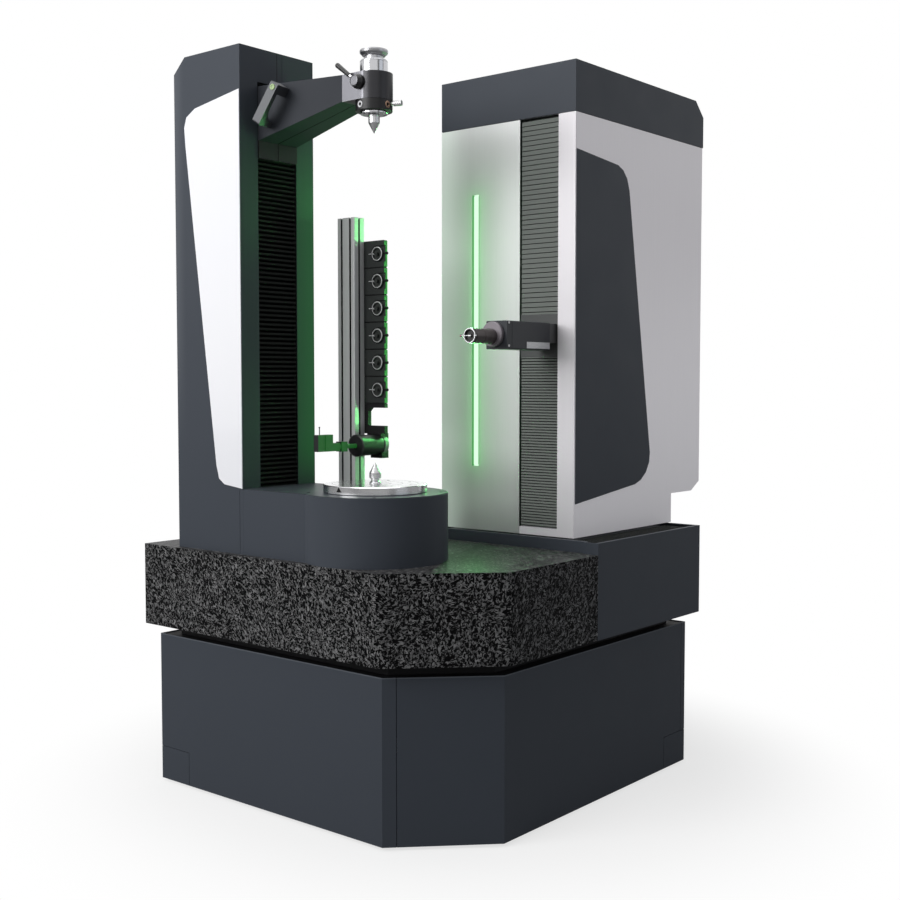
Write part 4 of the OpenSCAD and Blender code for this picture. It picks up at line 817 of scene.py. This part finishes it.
# %% Cloth of the way covers
def cover_cloth(name, valley, crest):
    cloth = Finish(name, Roughness=0.62, Specular_IOR_Level=0.1)
    fold = cloth.place.node("ShaderNodeAttribute", {"attribute_name": "fold"}, output="Fac")
    weave = cloth.place.noise(1500, 2, 0.6)
    # Painted light: crests painted paler as a highlight, valleys darker as shade.
    tone = fold.power(1.5) * (0.8 + 0.4 * weave)
    cloth.feed("Base Color", tone.mix(valley, crest))
    cloth.feed("Normal", weave.relief(0.00004, 0.5))
    return cloth


black_cloth = cover_cloth("black_cover_cloth", rgb(2, 2, 2), rgb(34, 37, 35))
grey_cloth = cover_cloth("grey_cover_cloth", rgb(14, 15, 14), rgb(118, 123, 119))
print("two cloths")

# %% [markdown]
# ## Folding the sheet
# The sheet's middle line goes from crest to valley to crest. Each crest has a small flat,
# where the stiffener sits. The line is then given its width and its thickness: four corners
# to a row, and four faces between one row and the next.

# %% Fold builder
def fold_line(positions, flat):
    """Places along the sheet and their heights: 1 on a crest, 0 in a valley."""
    line = []
    for i, at in enumerate(positions):
        more = i + 1 < len(positions)
        if i:
            line.append((at - flat * (at - positions[i - 1]), 1.0))
        line.append((at + (flat * (positions[i + 1] - at) if more else 0), 1.0))
        if more:
            line.append(((at + positions[i + 1]) / 2, 0.0))
    return line


def pleated_cover(name, along, out, across, start, length, width, positions, depth, thick,
                  finish, flat=0.16):
    """A folded sheet: positions are the places of its crests along its travel, from 0 to 1."""
    along, out, across, start = map(Vector, (along, out, across, start))
    mesh = bmesh.new()
    layer = mesh.verts.layers.float.new("fold")
    rows = []
    for at, height in fold_line(positions, flat):
        row = []
        for side, back in ((0, 0), (0, 1), (1, 0), (1, 1)):
            point = (start + along * (at * length) + across * (width * side)
                     + out * (-depth * (1 - height) - thick * back))
            row.append(mesh.verts.new(point))
            row[-1][layer] = height
        rows.append(row)
    for one, two in zip(rows, rows[1:]):
        for a, b in ((0, 2), (3, 1), (1, 0), (2, 3)):
            mesh.faces.new((one[a], one[b], two[b], two[a]))
    for row in (rows[0], rows[-1]):
        mesh.faces.new((row[0], row[1], row[3], row[2]))
    print(name, len(positions), "crests")
    return add_piece(name, mesh, finish)


def even(count):
    return [i / count for i in range(count + 1)]


print("ten even pleats:", even(10))

# %% [markdown]
# ## The tailstock's covers
# On the machine the lower cover folds up under the arm as the arm comes down, and one end of it
# stands on the column; here it is built at rest with even pleats and rides on the stand. The
# upper cover does the opposite: it lies folded in its pocket and is drawn out, so its crests
# are placed where they will lie evenly once it is open.

# %% Lower cover of the tailstock
TAIL_TRAVEL = 0.85
low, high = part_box("tail_lower_bellows")
tail_lower = pleated_cover(
    "tail_lower_cover", (0, 0, 1), (1, 0, 0), (0, 1, 0), (high.x, low.y, low.z),
    high.z - low.z, high.y - low.y, even(70), 0.0145, 0.0012, black_cloth)
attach(tail_lower, "stand")
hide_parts("tail_lower_bellows")
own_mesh(tail_lower)


# %% Upper cover of the tailstock
def folded_places(count, length, travel):
    """Crests of a cover that is folded at rest and lies evenly when it is drawn out."""
    places = []
    for i in range(count + 1):
        goal, lo, hi = i / count * (length + travel), 0.0, 1.0
        for _ in range(40):
            t = (lo + hi) / 2
            if t * length + t * t * (3 - 2 * t) * travel < goal:
                lo = t
            else:
                hi = t
        places.append((lo + hi) / 2)
    return places


low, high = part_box("tail_upper_bellows")
tail_upper = pleated_cover(
    "tail_upper_cover", (0, 0, -1), (1, 0, 0), (0, 1, 0), (high.x, low.y, high.z),
    high.z - low.z, high.y - low.y, folded_places(40, high.z - low.z, TAIL_TRAVEL),
    0.0145, 0.0005, black_cloth)
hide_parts("tail_upper_bellows")
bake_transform(tail_upper)

# %% [markdown]
# ## Covers of the measuring column and of the saddle
# Four more covers come in two pairs. Each pair shares its loop: the first cover hangs from
# the fixed end on one side of the slide, and the second is its mirror on the other side.

# %% Upright covers of the measuring column
for name, count, fixed_above in (("z_upper", 40, True), ("z_lower", 60, False)):
    low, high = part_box(name + "_bellows")
    first, last, way = (high.z, low.z, -1) if fixed_above else (low.z, high.z, 1)
    cover = pleated_cover(
        name + "_cover", (0, 0, way), (0, -1, 0), (1, 0, 0), (low.x + 0.003, low.y, first),
        high.z - low.z, high.x - low.x - 0.003, even(count), 0.0135, 0.0006, grey_cloth,
        0.42 if fixed_above else 0.32)
    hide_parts(name + "_bellows")
    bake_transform(cover)

# %% Level covers on the granite
for name, count, from_left in (("x_bellows_left", 40, True), ("x_bellows_right", 22, False)):
    low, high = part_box(name)
    first, last, way = (low.x, high.x, 1) if from_left else (high.x, low.x, -1)
    cover = pleated_cover(
        name.replace("bellows_", "") + "_cover", (way, 0, 0), (0, 0, 1), (0, 1, 0),
        (first, low.y, high.z), high.x - low.x, high.y - low.y, even(count), 0.0105, 0.0007,
        black_cloth)
    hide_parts(name)
    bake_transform(cover)

# %% [markdown]
# ## Turned heads and rings
# Small cap screws hold the handle, the arm and the rear panels. Each is turned: rows of
# corners about one axis, with faces between each row and the next. A row's radius is a rule
# that takes the angle, so the same helper draws the round head and the hexagon that is sunk
# into it, and each screw has a real recess that catches the light.

# %% Turning helpers
def seat(centre, normal):
    """Where a piece stands on a surface: its Z axis points along the normal."""
    turn = Vector(normal).normalized().to_track_quat("Z", "Y").to_matrix().to_4x4()
    return Matrix.Translation(Vector(centre)) @ turn


def corner_row(mesh, matrix, radius, z, sides):
    row = []
    for k in range(sides):
        angle = 2 * math.pi * k / sides
        r = radius(angle)
        row.append(mesh.verts.new(
            matrix @ Vector((r * math.cos(angle), r * math.sin(angle), z))))
    return row


def bridge(mesh, rows):
    """Faces between each closed row of corners and the next."""
    for one, two in zip(rows, rows[1:]):
        for k in range(len(one)):
            after = (k + 1) % len(one)
            mesh.faces.new((one[k], one[after], two[after], two[k]))


print("turning helpers ready")


# %% Screw and bush builders
def screws(name, body, finish, places, radius, height, sides=24):
    """One piece of many heads; places are pairs of a centre and the way that it faces."""
    mesh = bmesh.new()
    outline = ((radius, -0.0002), (radius, 0.72 * height), (0.88 * radius, height),
               (0.62 * radius, height))
    for centre, normal in places:
        matrix = seat(centre, normal)
        rows = [corner_row(mesh, matrix, lambda angle: r, z, sides) for r, z in outline]
        rows += [corner_row(
            mesh, matrix,
            lambda angle: 0.48 * radius / math.cos(angle % (math.pi / 3) - math.pi / 6),
            z, sides) for z in (height, 0.35 * height)]
        bridge(mesh, rows)
        mesh.faces.new(rows[-1])
        mesh.faces.new(list(reversed(rows[0])))
    return add_piece(name, mesh, finish, body)


def bush(name, body, finish, centre, normal, outline, sides=40):
    """A turned ring: outline gives radius and height of each corner of its section."""
    mesh = bmesh.new()
    matrix = seat(centre, normal)
    rows = [corner_row(mesh, matrix, lambda angle: r, z, sides) for r, z in outline]
    bridge(mesh, rows + rows[:1])
    return add_piece(name, mesh, finish, body)


print("screw and bush builders ready")


# %% Metals of the screws
def metal(name, dark, bright, roughness, metallic=1.0, scale=1200, detail=2):
    made = Finish(name, Metallic=metallic)
    tone = made.place.noise(scale, detail)
    made.feed("Base Color", tone.mix(dark, bright))
    made.feed("Roughness", roughness + 0.15 * tone)
    return made


steel_screw = metal("zinc_screw", rgb(170, 170, 172), rgb(215, 215, 217), 0.22)
dark_screw = metal("black_screw", rgb(22, 22, 23), rgb(44, 44, 46), 0.32, 0.6)
bronze = metal("bronze", rgb(122, 98, 82), rgb(158, 130, 112), 0.3, 1.0, 900, 3)
print("three metals")

# %% [markdown]
# ## Bushes and plug of the tailstock
# Two bushes sit in the clamp ring, a steel one at the front and a bronze one at the right.
# The handle is held by one screw with a green plastic head.

# %% Bushes and plug
BUSH = ((0.0044, 0.0), (0.0044, 0.0016), (0.0052, 0.0024), (0.0092, 0.0024), (0.0098, 0.0018),
        (0.0098, 0.0))
for name, angle, finish, slot in (("steel_bush", -95, steel_screw, "ground_steel"),
                                  ("bronze_bush", 0, bronze, "alloy")):
    out = Vector((math.cos(math.radians(angle)), math.sin(math.radians(angle)), 0))
    bush(name, "tail_arm", finish, Vector((TABLE.x, TABLE.y, 2.065)) + out * 0.0513, out,
         BUSH)
plug = Finish("green_plug", Roughness=0.4)
plug.feed("Base Color", plug.place.noise(900, 2).mix(rgb(128, 156, 92), rgb(176, 204, 140)))
screws("handle_screw", "tail_arm", plug,
       [((-0.0848, -0.6973, 2.1323), (0.2111, -0.9775, 0))], 0.0085, 0.0022)

# %% [markdown]
# ## Sheet and web of the stylus rack
# One thin black sheet behind the six holder plates ties them together; its near black is
# painted shade in the gap behind the plates. A small web under the bracket's arm fills the
# corner beside the parked probe's barrel: it is a section of five corners, drawn out over the
# bracket's depth.

# %% Backing sheet
def block(low, high):
    """A plain block between two corners."""
    mesh = bmesh.new()
    bmesh.ops.create_cube(mesh, size=1.0)
    for vert in mesh.verts:
        vert.co = Vector([low[i] + (high[i] - low[i]) * (vert.co[i] + 0.5) for i in range(3)])
    return mesh


sheet = block((RACK_LOW.x + 0.006, RACK_HIGH.y + 0.0002, RACK_LOW.z - 0.010),
              (RACK_HIGH.x - 0.006, RACK_HIGH.y + 0.0017, RACK_HIGH.z - 0.001))
# Painted shade: a nearly black sheet behind the holder plates.
backing_shade = powder_coat("backing_painted_shade", rgb(7, 7, 7), 0.7)
add_piece("rack_backing", sheet, backing_shade, "stand")

# %% Web under the bracket
WEB = ((-0.0472, 1.1219), (-0.0585, 1.1219), (-0.0585, 1.112), (-0.0512, 1.1084),
       (-0.0472, 1.1127))
web = bmesh.new()
ends = [[web.verts.new((x, y, z)) for x, z in WEB] for y in (RACK_LOW.y, RACK_HIGH.y)]
bridge(web, ends)
web.faces.new(ends[0])
web.faces.new(reversed(ends[1]))
add_piece("bracket_web", web, bracket_coat, "stand")

# %% [markdown]
# ## Filter mats and screws at the back
# Felt mats lie behind the cabinet's cooling slots, and their dark tone also stands in for the
# shade inside the cabinet as painted shade. Every rear panel has its screws: the cabinet and
# the rear cover have theirs in two rows, and the tailstock's column in two upright lines.

# %% Filter mats
# Painted shade: the dark felt stands in for the shade inside the cabinet.
shade_felt = Finish("filter_felt_shade", Roughness=0.95, Specular_IOR_Level=0.05)
felt_tone = shade_felt.place.noise(700, 4, 0.7)
shade_felt.feed("Base Color", felt_tone.mix(rgb(8, 8, 9), rgb(34, 34, 36)))
shade_felt.feed("Normal", felt_tone.relief(0.0006, 0.6))
for name, left in (("filter_mat_left", -0.327), ("filter_mat_right", 0.123)):
    mat = block((left, 0.5085, 0.172), (left + 0.204, 0.5127, 0.372))
    add_piece(name, mat, shade_felt, "stand")

# %% Rear screws
BACK = (0, 1, 0)
screws("cabinet_rear_screws", "stand", dark_screw,
       [((x, 0.516, z), BACK) for x in (-0.57, -0.19, 0.19, 0.57) for z in (0.045, 0.45)],
       0.0055, 0.003)
screws("rear_cover_screws", "stand", dark_screw,
       [((x, 0.549, z), BACK) for x in (-0.6, -0.2, 0.2, 0.6) for z in (0.54, 0.775)],
       0.0055, 0.003)
screws("tail_cover_screws", "stand", dark_screw,
       [((x, -0.436, 0.84 + 0.27 * k), BACK) for x in (-0.462, -0.21) for k in range(6)],
       0.0050, 0.0028)

# %% Screws on the probe arm
screws("probe_arm_screws", "measuring_slide", steel_screw,
       [((x, -0.273, z), (side, 0, 0))
        for x, side in ((0.451, 1), (0.375, -1)) for z in (1.455, 1.388)], 0.0034, 0.0016)

# %% [markdown]
# ## Floor
# The machine stands on a plain pale floor that runs out into white. Near the machine the
# floor is a real surface and keeps the shadow; further away it turns into plain white for
# the camera, and in part for mirror-like metal. Other rays find a darker floor, so that the
# granite's underside isn't lit from below.

# %% Bare node trees
def bare_wire(owner):
    """Clears the owner's node tree and gives a wire to build it anew."""
    owner.use_nodes = True
    owner.node_tree.nodes.clear()
    return Wire(owner.node_tree)


def rays(wire):
    """Wires that are 1 for camera, glossy and transmission rays."""
    ways = wire.node("ShaderNodeLightPath").socket.node.outputs
    return [Wire(wire.tree, ways[kind]) for kind in (
        "Is Camera Ray", "Is Glossy Ray", "Is Transmission Ray")]


WHITE = (1, 1, 1, 1)
print("tree helpers ready")

# %% Floor
paint = bpy.data.materials.new("floor_paint")
wire = bare_wire(paint)
x, y, z = wire.node("ShaderNodeTexCoord", output="Object").split()
by_camera, by_gloss, by_glass = rays(wire)
seen = by_camera.most(by_glass).most(0.15 * by_gloss)
matt = wire.node("ShaderNodeBsdfDiffuse", None, {"Color": (0.93, 0.93, 0.93, 1)})
dim = wire.node("ShaderNodeBsdfDiffuse", None, {"Color": (0.3, 0.3, 0.3, 1)})
bright = wire.node("ShaderNodeEmission", None, {"Color": WHITE, "Strength": 1.0})
under = (x.between(-0.57, 0.57, 0.01) * y.between(-0.69, 0.49, 0.01)
         * (1 - (x - y).step(1.03, 1.05)))
share = (0.7 + 0.3 * reach(x, y).step(0.8, 1.5)) * (1 - under)
near = wire.node("ShaderNodeMixShader", None, {0: share, 1: matt, 2: bright})
shown = wire.node("ShaderNodeMixShader", None, {0: seen, 1: dim, 2: near})
wire.node("ShaderNodeOutputMaterial", None, {"Surface": shown})
floor_mesh = bmesh.new()
bmesh.ops.create_circle(floor_mesh, cap_ends=True, segments=96, radius=30)
floor = to_object("floor", floor_mesh, paint)

# %% [markdown]
# ## World
# The room is a weak, even white light. Where the camera looks past the machine, and where
# polished metal or glass mirrors the room, it is plain white.

# %% World
world = bpy.data.worlds.new("studio")
bpy.context.scene.world = world
wire = bare_wire(world)
by_camera, by_gloss, by_glass = rays(wire)
soft = wire.node("ShaderNodeBackground", None, {"Color": WHITE, "Strength": 0.2})
blank = wire.node("ShaderNodeBackground", None, {"Color": WHITE, "Strength": 1.0})
sky = wire.node("ShaderNodeMixShader", None,
                {0: by_camera.most(by_gloss).most(by_glass), 1: soft, 2: blank})
wire.node("ShaderNodeOutputWorld", None, {"Surface": sky})
print("world set")

# %% [markdown]
# ## Grey flags
# Studio flags are grey walls that only show in the reflections of polished metal, where
# they draw the darker bands that tell the eye it looks at a round chromed shaft. Each is a
# part of an upright drum about the machine.

# %% Flags
flag_paint = bpy.data.materials.new("flag_paint")
wire = bare_wire(flag_paint)
flag_glow = wire.node("ShaderNodeEmission", None, {"Color": WHITE, "Strength": 0.25})
wire.node("ShaderNodeOutputMaterial", None, {"Surface": flag_glow})
for name, first, last in (("flag_right", -20, 34), ("flag_left", -99, -82)):
    mesh = bmesh.new()
    columns = []
    for k in range(13):
        angle = math.radians(first + (last - first) * k / 12)
        columns.append([mesh.verts.new((7 * math.cos(angle), 7 * math.sin(angle), z))
                        for z in (0.0, 6.5)])
    for one, two in zip(columns, columns[1:]):
        mesh.faces.new((one[0], two[0], two[1], one[1]))
    flag = to_object(name, mesh, flag_paint)
    flag.visible_camera = flag.visible_diffuse = flag.visible_shadow = False

# %% [markdown]
# ## Lamps
# A large soft lamp from the front left is the key, a weaker one from the right fills, and
# one from above lights the plate and the granite. A narrow green lamp in front of the strip
# rides with the measuring column and throws the strip's light on its neighbours.

# %% Lamps
def soft_lamp(name, place, target, width, height, power, colour=(1, 1, 1), body=None):
    lamp = bpy.data.lights.new(name, "AREA")
    lamp.shape = "RECTANGLE"
    lamp.size = width
    lamp.size_y = height
    lamp.energy = power
    lamp.color = colour
    holder = bpy.data.objects.new(name, lamp)
    holder.location = place
    holder.rotation_euler = (Vector(target) - Vector(place)).to_track_quat("-Z", "Y").to_euler()
    holder.visible_camera = False
    bpy.context.scene.collection.objects.link(holder)
    if body:
        holder.parent = frame["bodies"][body]
        holder.matrix_parent_inverse = frame["bodies"][body].matrix_world.inverted()
    print(name, power, "W")


soft_lamp("key", (-1.2, -4.9, 3.4), (0, 0, 1.1), 3.2, 3.2, 207)
soft_lamp("fill", (4.6, 0.6, 2.2), (0, 0, 1.2), 2.6, 3.0, 18, (0.86, 0.92, 1.0))
soft_lamp("top", (0, -0.4, 5.2), (0, 0, 0), 3.5, 3.5, 75)
LENS_MID = sum(LENS_Z) / 2
soft_lamp("strip_glow", (LENS_X, COLUMN_FRONT - 0.004, LENS_MID), (LENS_X, -2, LENS_MID),
          0.023, LENS_Z[1] - LENS_Z[0], 5.5, (0.18, 1.0, 0.24), "measuring_column")

# %% [markdown]
# ## Finish
# The colours go out as they are, without a film curve.

# %% Finish
bpy.context.scene.view_settings.view_transform = "Standard"
